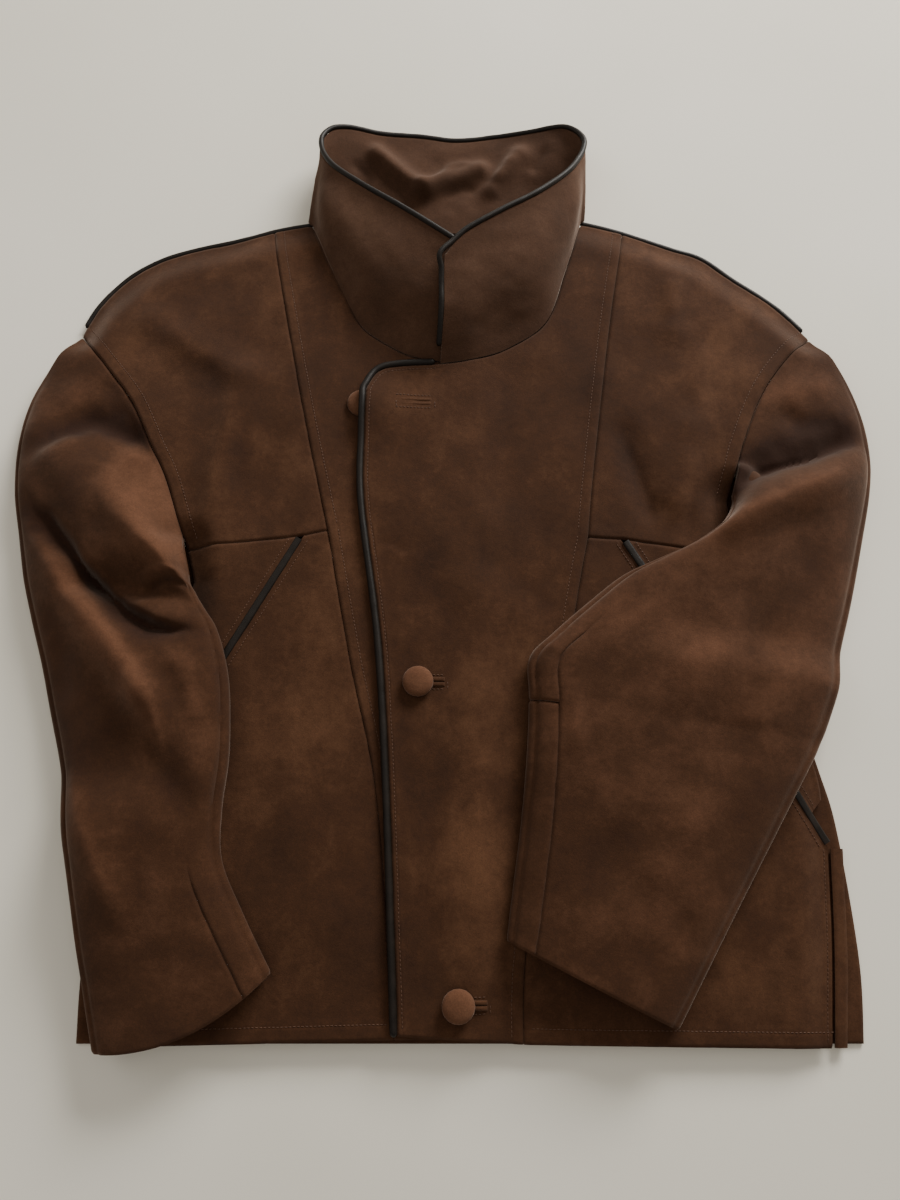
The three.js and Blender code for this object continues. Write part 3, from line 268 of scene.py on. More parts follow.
COLLAR_CREASES = [
    ([(-78, 412), (-50, 384), (-34, 378)], 2.4, 5, 7),
    ([(-30, 372), (-10, 388), (6, 400), (22, 392)], 2.6, 5, 6),
    ([(34, 374), (48, 386), (56, 404)], 2.2, 5, 5),
    ([(-96, 400), (-84, 384), (-80, 366)], -2.0, 5, 6),
    ([(70, 380), (78, 396), (80, 410)], -1.8, 5, 5),
    ([(-12, 366), (10, 372), (26, 366)], -1.8, 5, 5),
]

BUTTONS = [
    {"name": "top", "x": -80, "y": 153, "height": 5, "tucked": True},
    {"name": "middle", "x": -30, "y": -86, "height": 6, "tucked": False},
    {"name": "bottom", "x": 1, "y": -321, "height": 6, "tucked": False},
]
BUTTONHOLES = [
    {"name": "top", "x": -34, "y": 153},
    {"name": "middle", "x": -23, "y": -86},
    {"name": "bottom", "x": 8, "y": -321},
]


# Numbers and noise


def lerp(a, b, share):
    return a + (b - a) * share


def smooth(low, high, value):
    share = np.clip((np.asarray(value, float) - low) / (high - low), 0, 1)
    return share * share * (3 - 2 * share)


def bell(distance, width):
    return np.exp(-((distance / width) ** 2))


LATTICE = np.random.default_rng(11).uniform(-1, 1, (256, 256))


def noise(x, y, size, seed=0):
    """Smooth noise from -1 to 1, with features of the given size."""
    px, py = x / size + 17.31 * seed, y / size + 9.73 * seed
    ix, iy = np.floor(px).astype(int), np.floor(py).astype(int)
    fx, fy = px - ix, py - iy
    fx = fx**3 * (fx * (fx * 6 - 15) + 10)
    fy = fy**3 * (fy * (fy * 6 - 15) + 10)
    corner = lambda a, b: LATTICE[(ix + a) & 255, (iy + b) & 255]
    low = lerp(corner(0, 0), corner(1, 0), fx)
    high = lerp(corner(0, 1), corner(1, 1), fx)
    return lerp(low, high, fy)


def undulation(x, y, seed):
    """The suede's own soft unevenness, in mm."""
    wide = 0.9 * noise(x, y, 62, seed) + 0.5 * noise(x, y, 31, seed + 1)
    fine = 0.16 * noise(x, y, 13, seed + 2) + 0.06 * noise(x, y, 5, seed + 3)
    return wide + fine


# Curves


class Line:
    """A curve as dense points, read by the share of its length."""

    def __init__(self, points):
        self.points = np.asarray(points, float)
        steps = np.linalg.norm(np.diff(self.points, axis=0), axis=1)
        self.run = np.concatenate([[0], np.cumsum(steps)])
        self.length = self.run[-1]

    def at(self, share):
        place = np.clip(share, 0, 1) * self.length
        return np.stack([np.interp(place, self.run, axis) for axis in self.points.T], axis=-1)

    def spaced(self, cells):
        return self.at(np.linspace(0, 1, cells + 1))

    def reverse(self):
        return Line(self.points[::-1])


class Chain:
    """Lines end to end, each over a share of the range given by its number of cells."""

    def __init__(self, *parts):
        self.parts = parts
        self.total = sum(cells for _, cells in parts)

    def at(self, share):
        place = np.clip(share, 0, 1) * self.total
        start = 0
        points = None
        for line, cells in self.parts:
            here = line.at((place - start) / cells)
            points = here if points is None else np.where((place > start)[..., None], here, points)
            start += cells
        return points

    def spaced(self, cells):
        return self.at(np.linspace(0, 1, cells + 1))


CURVE_STEPS = 24


def plan_line(points):
    """Smooth curve in the plane through the given points."""
    p = np.array(points, float)
    t = np.linspace(0, 1, CURVE_STEPS, endpoint=False)[:, None]
    dense = []
    for i in range(len(p) - 1):
        p0, p1, p2, p3 = p[max(i - 1, 0)], p[i], p[i + 1], p[min(i + 2, len(p) - 1)]
        dense.append(0.5 * (2 * p1 + (p2 - p0) * t + (2 * p0 - 5 * p1 + 4 * p2 - p3) * t**2
                            + (3 * p1 - p0 - 3 * p2 + p3) * t**3))
    return Line(np.vstack(dense + [p[-1:]]))


def space_line(points):
    """Smooth curve in space through the given points, calm where they are unevenly spaced."""
    p = np.array(points, float)
    p = np.vstack([2 * p[0] - p[1], p, 2 * p[-1] - p[-2]])
    t = np.linspace(0, 1, CURVE_STEPS, endpoint=False)[:, None]
    dense = []
    for i in range(1, len(p) - 2):
        p0, p1, p2, p3 = p[i - 1 : i + 3]
        d0, d1, d2 = (math.sqrt(np.linalg.norm(b - a)) for a, b in ((p0, p1), (p1, p2), (p2, p3)))
        m1 = d1 * ((p1 - p0) / d0 - (p2 - p0) / (d0 + d1) + (p2 - p1) / d1)
        m2 = d1 * ((p2 - p1) / d1 - (p3 - p1) / (d1 + d2) + (p3 - p2) / d2)
        dense.append(p1 + m1 * t + (3 * (p2 - p1) - 2 * m1 - m2) * t**2 + (2 * (p1 - p2) + m1 + m2) * t**3)
    return Line(np.vstack(dense + [p[-2:-1]]))


def nearest(x, y, points):
    """Distance to a broken line, the place along it, and the side of it (+1 on its left)."""
    shape = np.shape(x)
    x, y = np.ravel(x)[:, None], np.ravel(y)[:, None]
    a, b = points[:-1], points[1:]
    d = b - a
    size2 = (d**2).sum(1)
    share = np.clip(((x - a[:, 0]) * d[:, 0] + (y - a[:, 1]) * d[:, 1]) / size2, 0, 1)
    gx, gy = x - a[:, 0] - share * d[:, 0], y - a[:, 1] - share * d[:, 1]
    far = gx**2 + gy**2
    k = far.argmin(1)
    row = np.arange(len(k))
    length = np.sqrt(size2)
    run = np.concatenate([[0], np.cumsum(length)])
    along = run[k] + share[row, k] * length[k]
    side = np.sign(d[k, 0] * gy[row, k] - d[k, 1] * gx[row, k])
    return np.sqrt(far[row, k]).reshape(shape), along.reshape(shape), side.reshape(shape)


def main_folds(x, y, folds):
    total = np.zeros(np.shape(x))
    for start, end, height, width in folds:
        total += height * bell(nearest(x, y, np.array([start, end], float))[0], width)
    return total


CREASE_END = 0.28


def crease_folds(x, y, creases, seed):
    """Finer folds: each fades at its ends, is steeper on one side and wavers a little."""
    wx = x + 3.5 * noise(x, y, 34, seed) + 1.2 * noise(x, y, 12, seed + 1)
    wy = y + 3.5 * noise(x, y, 34, seed + 2) + 1.2 * noise(x, y, 12, seed + 3)
    total = np.zeros(np.shape(x))
    for path, height, left, right in creases:
        line = plan_line(path)
        d, along, side = nearest(wx, wy, line.spaced(14))
        share = along / line.length
        fade = smooth(0, CREASE_END, share) * smooth(0, CREASE_END, 1 - share)
        total += height * bell(d, np.where(side > 0, left, right)) * fade
    return total


# Heights of the fronts

HALVES = (RIGHT, LEFT)
SIDES = [plan_line(half["side"]).spaced(12) for half in HALVES]
UNDERARM_EDGES = [np.array([half["underarm"][0], half["side"][0]], float) for half in HALVES]
SHOULDERS = [
    np.vstack([
        plan_line(half["shoulder_inner"][::-1]).spaced(3),
        plan_line(half["shoulder_outer"]).spaced(12)[1:],
    ])
    for half in HALVES
]
ARMHOLES = [plan_line(half["armhole"]).spaced(12) for half in HALVES]


def half_height(x, y, k, side_margin):
    z = lerp(HEM_Z, CHEST_Z, smooth(0, HEM_RISE_LENGTH, y - HEM_Y))
    z = z + ARMHOLE_RAISE * bell(nearest(x, y, ARMHOLES[k])[0], ARMHOLE_RAISE_WIDTH) * smooth(30, 120, y)
    z = z + main_folds(x, y, FRONT_FOLDS)
    side = np.minimum(nearest(x, y, SIDES[k])[0], nearest(x, y, UNDERARM_EDGES[k])[0]) + side_margin
    z = lerp(SIDE_EDGE_Z, z, smooth(0, EDGE_ROLL, side))
    return lerp(SHOULDER_EDGE_Z, z, smooth(0, EDGE_ROLL, nearest(x, y, SHOULDERS[k])[0]))


def front_height(x, y, side_margin=0):
    x, y = np.asarray(x, float), np.asarray(y, float)
    return np.where(x < 0, half_height(x, y, 0, side_margin), half_height(x, y, 1, side_margin))


def lap_height(x, y):
    """The wearer's left front, which lies on the right one past the middle."""
    x, y = np.asarray(x, float), np.asarray(y, float)
    bump = LAP_BUMP["height"] * bell(np.hypot(x - LAP_BUMP["x"], y - LAP_BUMP["y"]), LAP_BUMP["width"])
    return front_height(x, y) + LAP_LIFT * (1 - smooth(LAP_FULL_TO_X, LAP_DONE_AT_X, x)) + bump


# Meshes

SHARP_ANGLE = 62


def new_object(name, points, faces, material, fields=None):
    """A mesh object from points in mm."""
    data = bpy.data.meshes.new(name)
    data.from_pydata((np.asarray(points) * MM).tolist(), [], np.asarray(faces).tolist())
    data.polygons.foreach_set("use_smooth", [True] * len(data.polygons))
    for key, values in (fields or {}).items():
        data.attributes.new(key, "FLOAT", "POINT").data.foreach_set("value", np.asarray(values, np.float32))
    data.materials.append(material)
    data.update()
    data.set_sharp_from_angle(angle=math.radians(SHARP_ANGLE))
    made = bpy.data.objects.new(name, data)
    bpy.context.scene.collection.objects.link(made)
    return made


def grid_quads(rows, columns):
    i, j = np.meshgrid(np.arange(rows - 1), np.arange(columns - 1), indexing="ij")
    a = (i * columns + j).ravel()
    return np.stack([a, a + 1, a + columns + 1, a + columns], axis=1)


def shell(outer, inner):
    """Points and quads of a wall between two grids of the same size, closed along its edges."""
    rows, columns = outer.shape[:2]
    half = rows * columns
    points = np.vstack([outer.reshape(-1, 3), inner.reshape(-1, 3)])
    top = grid_quads(rows, columns)
    index = np.arange(half).reshape(rows, columns)
    loop = np.concatenate([index[0, :-1], index[:-1, -1], index[-1, :0:-1], index[:0:-1, 0]])
    after = np.roll(loop, -1)
    border = np.stack([after, loop, loop + half, after + half], axis=1)
    faces = np.vstack([top, top[:, ::-1] + half, border])
    middle = points[top].mean(1)
    a, b, c = points[top[:, 0]], points[top[:, 1]], points[top[:, 2]]
    normal = np.cross(b - a, c - a)
    away = (normal * (middle - points[top + half].mean(1))).sum()
    return points, faces if away > 0 else faces[:, ::-1]


def grid_normals(grid):
    along = np.gradient(grid, axis=1)
    across = np.gradient(grid, axis=0)
    normal = np.cross(along, across)
    return normal / np.maximum(np.linalg.norm(normal, axis=-1, keepdims=True), 1e-9)


SURFACES = {}


def keep_surface(name, outer):
    """Keeps a piece's outer face, so that sewing can be laid on it."""
    rows, columns = outer.shape[:2]
    SURFACES[name] = BVHTree.FromPolygons(outer.reshape(-1, 3).tolist(), grid_quads(rows, columns).tolist())


def drop(name, x, y):
    """Point and upward normal of a piece's outer face under (x, y), or None."""
    place, normal, _, _ = SURFACES[name].ray_cast(Vector((x, y, 200)), Vector((0, 0, -1)))
    if place is None:
        return None
    normal = normal if normal.z > 0 else -normal
    return np.array(place), np.array(normal)


# Materials


def linear(red, green, blue):
    """A colour given as 0 to 255 values on screen."""
    channel = lambda c: c / 12.92 if c <= 0.04045 else ((c + 0.055) / 1.055) ** 2.4
    return tuple(channel(c / 255) for c in (red, green, blue)) + (1.0,)


class Nodes:
    """Short forms for building a material."""

    def __init__(self, name):
        self.material = bpy.data.materials.new(name)
        self.material.use_nodes = True
        self.tree = self.material.node_tree
        self.shader = self.tree.nodes["Principled BSDF"]

    def add(self, kind, **values):
        node = self.tree.nodes.new(kind)
        for key, value in values.items():
            if hasattr(node, key):
                setattr(node, key, value)
            else:
                node.inputs[key.replace("_", " ")].default_value = value
        return node

    def link(self, source, target):
        self.tree.links.new(source, target)

    def coords(self, scale):
        """Object coordinates in metres, stretched by scale."""
        where = self.add("ShaderNodeTexCoord")
        mapping = self.add("ShaderNodeMapping")
        mapping.inputs["Scale"].default_value = scale
        self.link(where.outputs["Object"], mapping.inputs["Vector"])
        return mapping.outputs["Vector"]

    def noise(self, scale, detail=3.0, roughness=0.55, stretch=(1, 1, 1), distortion=0.0):
        node = self.add("ShaderNodeTexNoise", Scale=scale, Detail=detail, Roughness=roughness)
        node.inputs["Distortion"].default_value = distortion
        self.link(self.coords(stretch), node.inputs["Vector"])
        return node.outputs["Fac"]

    def ramp(self, source, stops):
        node = self.add("ShaderNodeValToRGB")
        while len(node.color_ramp.elements) < len(stops):
            node.color_ramp.elements.new(0.5)
        for element, (place, colour) in zip(node.color_ramp.elements, stops):
            element.position = place
            element.color = colour
        self.link(source, node.inputs["Fac"])
        return node.outputs["Color"]

    def mix(self, share, a, b, blend="MIX"):
        node = self.add("ShaderNodeMix", data_type="RGBA", blend_type=blend)
        factor, first, second = node.inputs[0], node.inputs[6], node.inputs[7]
        for socket, value in ((factor, share), (first, a), (second, b)):
            if isinstance(value, (int, float, tuple)):
                socket.default_value = value
            else:
                self.link(value, socket)
        return node.outputs[2]

    def math(self, operation, a, b=0.0, clamp=False):
        node = self.add("ShaderNodeMath", operation=operation)
        node.use_clamp = clamp
        for socket, value in ((node.inputs[0], a), (node.inputs[1], b)):
            if isinstance(value, (int, float)):
                socket.default_value = value
            else:
                self.link(value, socket)
        return node.outputs[0]

    def field(self, key):
        return self.add("ShaderNodeAttribute", attribute_name=key).outputs["Fac"]

    def bump(self, height, strength, distance, before=None):
        node = self.add("ShaderNodeBump", Strength=strength, Distance=distance)
        self.link(height, node.inputs["Height"])
        if before is not None:
            self.link(before, node.inputs["Normal"])
        return node.outputs["Normal"]


def suede(name, dark, middle, light, streak=(26, 9, 20), shift=0.0):
    """Napped suede: patches where the nap lies one way or the other, brushed streaks, painted light on fold
    ridges and painted shade in fold troughs and seam grooves.
    """
    n = Nodes(name)
    patches = n.noise(9.0, 4.0, 0.62, distortion=0.6)
    clouds = n.noise(38.0, 5.0, 0.66, distortion=0.3)
    brushed = n.noise(1.0, 4.0, 0.6, stretch=streak, distortion=0.3)
    fibres = n.noise(900.0, 3.0, 0.7)
    speck = n.noise(2600.0, 2.0, 0.6)
    flecks = n.noise(240.0, 3.0, 0.7)
    tone = n.math("ADD", n.math("MULTIPLY", patches, 0.34), n.math("MULTIPLY", clouds, 0.30))
    tone = n.math("ADD", tone, n.math("MULTIPLY", brushed, 0.22))
    tone = n.math("ADD", tone, n.math("MULTIPLY", flecks, 0.14))
    # painted light and shade: fold ridges lighter and fold troughs darker, with the nap patches and
    # undulation tone
    tone = n.math("ADD", tone, n.math("MULTIPLY", n.field("painted_light_and_nap"), 0.035))
    tone = n.math("ADD", tone, shift)
    colour = n.ramp(tone, [(0.30, dark), (0.50, middle), (0.72, light)])
    grain = n.ramp(fibres, [(0.3, (0.66, 0.66, 0.66, 1)), (0.7, (1.3, 1.28, 1.26, 1))])
    colour = n.mix(0.6, colour, grain, "MULTIPLY")
    # painted shade along seam grooves, stitch rows and the collar's base crease
    seam_shade = n.math("MULTIPLY", n.field("seam"), 0.2, clamp=True)
    colour = n.mix(seam_shade, colour, dark)
    n.link(colour, n.shader.inputs["Base Color"])
    n.shader.inputs["Roughness"].default_value = 0.92
    n.shader.inputs["Specular IOR Level"].default_value = 0.2
    n.shader.inputs["Sheen Weight"].default_value = 0.24
    n.shader.inputs["Sheen Roughness"].default_value = 0.4
    n.shader.inputs["Sheen Tint"].default_value = (0.95, 0.75, 0.62, 1)
    pebbles = n.noise(150.0, 4.0, 0.6)
    normal = n.bump(pebbles, 0.32, 0.0009)
    normal = n.bump(n.math("ADD", fibres, n.math("MULTIPLY", speck, 0.5)), 0.30, 0.0004, normal)
    n.link(normal, n.shader.inputs["Normal"])
    return n.material


def black_leather():
    n = Nodes("black_leather")
    cells = n.add("ShaderNodeTexVoronoi", Scale=1400.0)
    n.link(n.coords((1, 1, 1)), cells.inputs["Vector"])
    soft = n.noise(60.0, 4.0, 0.6)
    colour = n.ramp(soft, [(0.3, linear(20, 15, 11)), (0.7, linear(31, 24, 18))])
    n.link(colour, n.shader.inputs["Base Color"])
    rough = n.ramp(soft, [(0.3, (0.44, 0.44, 0.44, 1)), (0.7, (0.6, 0.6, 0.6, 1))])
    n.link(rough, n.shader.inputs["Roughness"])
    n.shader.inputs["Specular IOR Level"].default_value = 0.22
    normal = n.bump(cells.outputs["Distance"], 0.25, 0.0003)
    n.link(n.bump(soft, 0.2, 0.001, normal), n.shader.inputs["Normal"])
    return n.material


def thread():
    n = Nodes("thread")
    twist = n.noise(2200.0, 1.0, 0.5)
    colour = n.ramp(twist, [(0.3, linear(58, 35, 21)), (0.7, linear(104, 70, 48))])
    n.link(colour, n.shader.inputs["Base Color"])
    n.shader.inputs["Roughness"].default_value = 0.6
    return n.material


BODY_TONES = (linear(40, 22, 11), linear(62, 37, 20), linear(92, 61, 40))
SLEEVE_TONES = (linear(42, 22, 11), linear(62, 37, 20), linear(92, 60, 41))
# the collar's suede is lighter and paler than the body's: painted light on the standing collar
COLLAR_LIT_TONES = (linear(54, 35, 23), linear(72, 48, 33), linear(92, 66, 49))
MATERIALS = {
    "body": suede("suede_body", *BODY_TONES),
    "sleeve": suede("suede_sleeve", *SLEEVE_TONES, streak=(12, 22, 16)),
    "collar": suede("suede_collar", *COLLAR_LIT_TONES, streak=(18, 18, 14)),
    "button": suede("suede_button", linear(74, 46, 29), linear(94, 62, 43), linear(108, 75, 55)),
    "leather": black_leather(),
    "thread": thread(),
}


def declare(piece, node):
    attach(piece, "root")
    if node:
        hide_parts(node)
    return piece


# Panels

# Distances from a border at which the mesh has a line, in mm
BORDER_LINES = np.array([0, 0.3, 0.8, 1.6, 2.6, 3.6, 4.6, 5.6, 6.6, 7.6, 8.6, 9.6, 10.8, 12.2, 14])
PANEL_CELL = 4.2
STITCH_PITCH = 3.0


def graded(width, cells, inset_low, inset_high):
    """Shares of each width for the mesh's lines: close together beside both borders, even between."""
    width = np.asarray(width, float)[..., None]
    shrink = np.minimum(1, width / (2.5 * BORDER_LINES[-1]))
    low = inset_low + BORDER_LINES * shrink
    high = width - (inset_high + BORDER_LINES[::-1] * shrink)
    between = np.linspace(0, 1, cells + 1)[1:-1]
    middle = lerp(low[..., -1:], high[..., :1], between)
    return np.concatenate([low, middle, high], axis=-1) / width


def patch(top, bottom, left, right, insets):
    """Plan points filled between four borders. Insets are for top, bottom, left and right."""
    steps = np.linspace(0, 1, 60)
    wide = np.linalg.norm(right.at(steps) - left.at(steps), axis=1)
    tall = np.linalg.norm(bottom.at(steps) - top.at(steps), axis=1)
    columns = max(6, int((wide.max() - 2 * BORDER_LINES[-1]) / PANEL_CELL))
    rows = max(6, int((tall.max() - 2 * BORDER_LINES[-1]) / PANEL_CELL))
    row_place = graded(tall.mean(), rows, insets[0], insets[1])
    width = np.interp(row_place, steps, wide)
    u = graded(width, columns, insets[2], insets[3])
    height = np.interp(np.linspace(0, 1, u.shape[1]), steps, tall)
    v = graded(height, rows, insets[0], insets[1]).T
    corner = {key: line.at(np.array(share)) for key, line, share in (
        ("tl", top, 0.0), ("tr", top, 1.0), ("bl", bottom, 0.0), ("br", bottom, 1.0))}
    a, b = u[..., None], v[..., None]
    return ((1 - b) * top.at(u) + b * bottom.at(u) + (1 - a) * left.at(v) + a * right.at(v)
            - (1 - a) * (1 - b) * corner["tl"] - a * (1 - b) * corner["tr"]
            - (1 - a) * b * corner["bl"] - a * b * corner["br"])


# A seam beside a border, in mm: how deep and wide it is, how wide its painted shade reaches, and how far it
# puckers
SEAM_DROP = 1.15
CUFF_DROP = 0.9
SEAM_REACH = 1.2
DARK_REACH = 1.6
PUCKER = 0.22
PUCKER_REACH = 10

# A stitched row: how far the cloth stands over the allowance, and how deep the stitches pull it in
ALLOWANCE_STAND = 0.5
STITCH_DIP = 0.45
STITCH_RIPPLE = 0.12
SLEEVE_STITCH_DIP = 0.5


def puckers(place, d, wide_seed, fine_seed):
    """Small gathers of the cloth along a seam."""
    pull = noise(place, d * 0.4, 9, wide_seed) + 0.6 * noise(place, d * 0.5, 4.5, fine_seed)
    return PUCKER * pull * np.exp(-d / PUCKER_REACH)


def border_relief(x, y, borders, seed):
    """Beside each border the cloth rolls down, stands over the allowance and dips under the stitches. The
    dark field is painted shade in the seam groove and along the stitch row.
    """
    relief = np.zeros(np.shape(x))
    dark = np.zeros(np.shape(x))
    for k, (line, stitch) in enumerate(borders):
        d, along, _ = nearest(x, y, line.spaced(70))
        relief -= SEAM_DROP * bell(d, SEAM_REACH)
        dark = np.maximum(dark, bell(d, DARK_REACH))
        relief += puckers(along, d, seed + 7 * k, seed + 7 * k + 1)
        if stitch:
            relief += ALLOWANCE_STAND * (1 - smooth(stitch - 0.5, stitch + 4, d))
            ripple = np.cos(2 * np.pi * along / STITCH_PITCH)
            dip = STITCH_DIP + STITCH_RIPPLE * ripple + STITCH_RIPPLE * noise(along, d, 14, seed + 40)
            relief -= dip * bell(d - stitch, 1.0)
            dark = np.maximum(dark, 0.55 * bell(d - stitch, 0.9))
    return relief, dark


# Where the nap is brushed light (over 0) or dark (under 0): centre, reach across and along, strength
NAP = [
    ((12, -222), 60, 44, 2.6),
    ((16, 62), 54, 70, -1.6),
    ((-122, -96), 40, 60, 4.5),
    ((-120, -250), 60, 50, -1.2),
    ((-199, 137), 40, 60, -1.4),
    ((-150, 260), 24, 50, 1.2),
    ((209, 210), 40, 60, 1.8),
    ((176, 110), 20, 50, 1.6),
    ((138, 120), 18, 70, -1.4),
    ((-225, 272), 60, 24, 1.2),
    ((-105, 120), 20, 80, -0.9),
]


def nap(x, y):
    total = np.zeros(np.shape(x))
    for (cx, cy), across, along, strength in NAP:
        total += strength * np.exp(-(((x - cx) / across) ** 2) - ((y - cy) / along) ** 2)
    return total


def panel(node, plan, height_at, borders, seed, material="body"):
    """A flat-laid piece of suede whose outer face follows a height, with its seams worked in."""
    x, y = plan[..., 0], plan[..., 1]
    relief, dark = border_relief(x, y, borders, seed)
    creases = crease_folds(x, y, FRONT_CREASES, 3)
    calm = smooth(2, 16, np.minimum.reduce([nearest(x, y, line.spaced(40))[0] for line, _ in borders]))
    soft = undulation(x, y, 5)
    z = height_at(x, y) + creases + soft * lerp(0.6, 1, calm) + relief
    outer = np.dstack([x, y, z])
    steep = np.maximum(np.abs(grid_normals(outer)[..., 2]), 0.6)
    inner = np.dstack([x, y, np.maximum(height_at(x, y) + creases + soft - WALL / steep, 0.2)])
    inner[..., 2] = np.minimum(inner[..., 2], z - 0.8)
    points, faces = shell(outer, inner)
    # painted light on fold ridges and painted shade in fold troughs, with the nap patches
    painted_light_and_nap = np.concatenate([(creases + 0.5 * soft + nap(x, y)).ravel(), np.zeros(x.size)])
    seam = np.concatenate([dark.ravel(), np.zeros(x.size)])
    made = new_object(node + "_cloth", points, faces, MATERIALS[material], {"painted_light_and_nap": painted_light_and_nap, "seam": seam})
    keep_surface(node, outer)
    return declare(made, node)


PRINCESS_STITCH = 8.6
ARMHOLE_STITCH = 10.5
PLACKET_STITCH = 4.2
HEM_STITCH = 11
WELT_STITCH = 4.6
PAST_TIP = 5
CELLS = {"shoulder": 10, "neck": 12, "lap_top": 6, "armhole": 9, "yoke_inner": 3, "welt": 10, "side_low": 4}


def lines_of(half):
    """Every seam line of one half, as curves."""
    straight = lambda *points: Line(np.array(points, float))
    side = half["side"]
    low = [p for p in side if p[1] < half["welt_end"][1] + 1]
    corner = half["princess_top"][-1]
    high = [p for p in side if p[1] > half["pocket_tip_side"][1] + PAST_TIP]
    side_high = plan_line([*high, half["pocket_tip_side"]])
    underarm = straight(*half["underarm"])
    armhole = plan_line(half["armhole"])
    return {
        "shoulder_inner": plan_line(half["shoulder_inner"]),
        "shoulder_outer": plan_line(half["shoulder_outer"]),
        "neckline": plan_line(half["neckline"]),
        "armhole": armhole,
        "yoke_edge": Chain((armhole, CELLS["armhole"] - 2), (underarm, 2)) if half is LEFT else armhole,
        "princess_top": plan_line(half["princess_top"]),
        "princess_low": plan_line(half["princess_low"]),
        "front_edge": plan_line(half["front_edge"]),
        "side_low": plan_line(low),
        "yoke_outer": straight(half["yoke_end"], half["welt_top"]),
        "yoke_inner": straight(half["welt_top"], corner),
        "welt": straight(half["welt_top"], half["welt_end"]),
        "pocket_outer": side_high if half is LEFT else Chain((underarm, 1), (side_high, CELLS["welt"] - 1)),
        "pocket_tip": straight(half["pocket_tip_side"], half["pocket_tip_welt"]),
        "pocket_welt": straight(half["welt_top"], half["pocket_tip_welt"]),
        "hem": straight(side[-1], half["princess_low"][-1]),
    }


def front_centre(node, half, over, height_at):
    line = lines_of(half)
    princess = Chain((line["princess_top"], CELLS["armhole"]),
                     (line["princess_low"], CELLS["welt"] + CELLS["side_low"]))
    edge = line["front_edge"]
    if over:
        top = Chain((plan_line(half["lap_top"]), CELLS["lap_top"]), (line["neckline"], CELLS["neck"]),
                    (line["shoulder_inner"].reverse(), 2))
        left, right = edge, princess
    else:
        top = Chain((line["shoulder_inner"], 2), (line["neckline"], CELLS["neck"]))
        left, right = princess, edge
    bottom = Line([left.at(np.array(1.0)), right.at(np.array(1.0))])
    insets = (HALF_GAP, 0, 0, HALF_GAP) if over else (HALF_GAP, 0, HALF_GAP, 0)
    borders = [
        (line["princess_top"], PRINCESS_STITCH),
        (line["princess_low"], PRINCESS_STITCH),
        (line["neckline"], None),
        (line["shoulder_inner"], None),
        (edge, PLACKET_STITCH if over else None),
        (bottom, None if over else HEM_STITCH),
    ]
    if over:
        borders.append((plan_line(half["lap_top"]), PLACKET_STITCH))
    panel(node, patch(top, bottom, left, right, insets), height_at, borders, 101 if over else 102)


def front_yoke(node, half, height_at):
    line = lines_of(half)
    seam = Chain((line["yoke_outer"], CELLS["shoulder"] - CELLS["yoke_inner"]),
                 (line["yoke_inner"], CELLS["yoke_inner"]))
    top = line["shoulder_outer"].reverse()
    plan = patch(top, seam, line["yoke_edge"], line["princess_top"], [HALF_GAP] * 4)
    borders = [
        (line["shoulder_outer"], None),
        (line["yoke_edge"], ARMHOLE_STITCH),
        (line["princess_top"], None),
        (line["yoke_outer"], None),
        (line["yoke_inner"], None),
    ]
    panel(node, plan, height_at, borders, 111)


def pocket_side(node, half, height_at):
    line = lines_of(half)
    insets = (HALF_GAP, 0, HALF_GAP, WELT_WIDTH / 2 + SEAM_GAP)
    plan = patch(line["yoke_outer"], line["pocket_tip"], line["pocket_outer"], line["pocket_welt"], insets)
    borders = [(line["yoke_outer"], None), (line["pocket_outer"], None), (line["pocket_welt"], WELT_STITCH)]
    panel(node, plan, height_at, borders, 121)


def front_lower(node, half, height_at):
    line = lines_of(half)
    left = Chain((line["welt"], CELLS["welt"]), (line["side_low"], CELLS["side_low"]))
    insets = (HALF_GAP, 0, WELT_WIDTH / 2 + SEAM_GAP, HALF_GAP)
    plan = patch(line["yoke_inner"], line["hem"], left, line["princess_low"], insets)
    borders = [
        (line["yoke_inner"], None),
        (line["welt"], WELT_STITCH),
        (line["side_low"], 6),
        (line["princess_low"], None),
        (line["hem"], HEM_STITCH),
    ]
    panel(node, plan, height_at, borders, 131)


def fronts():
    front_centre("front_right_center", RIGHT, False, front_height)
    front_centre("front_left_center", LEFT, True, lap_height)
    for side, half, height_at in (("right", RIGHT, front_height), ("left", LEFT, lap_height)):
        front_yoke(f"front_{side}_yoke", half, height_at)
        pocket_side(f"front_{side}_pocket_side", half, height_at)
        front_lower(f"front_{side}_lower", half, height_at)


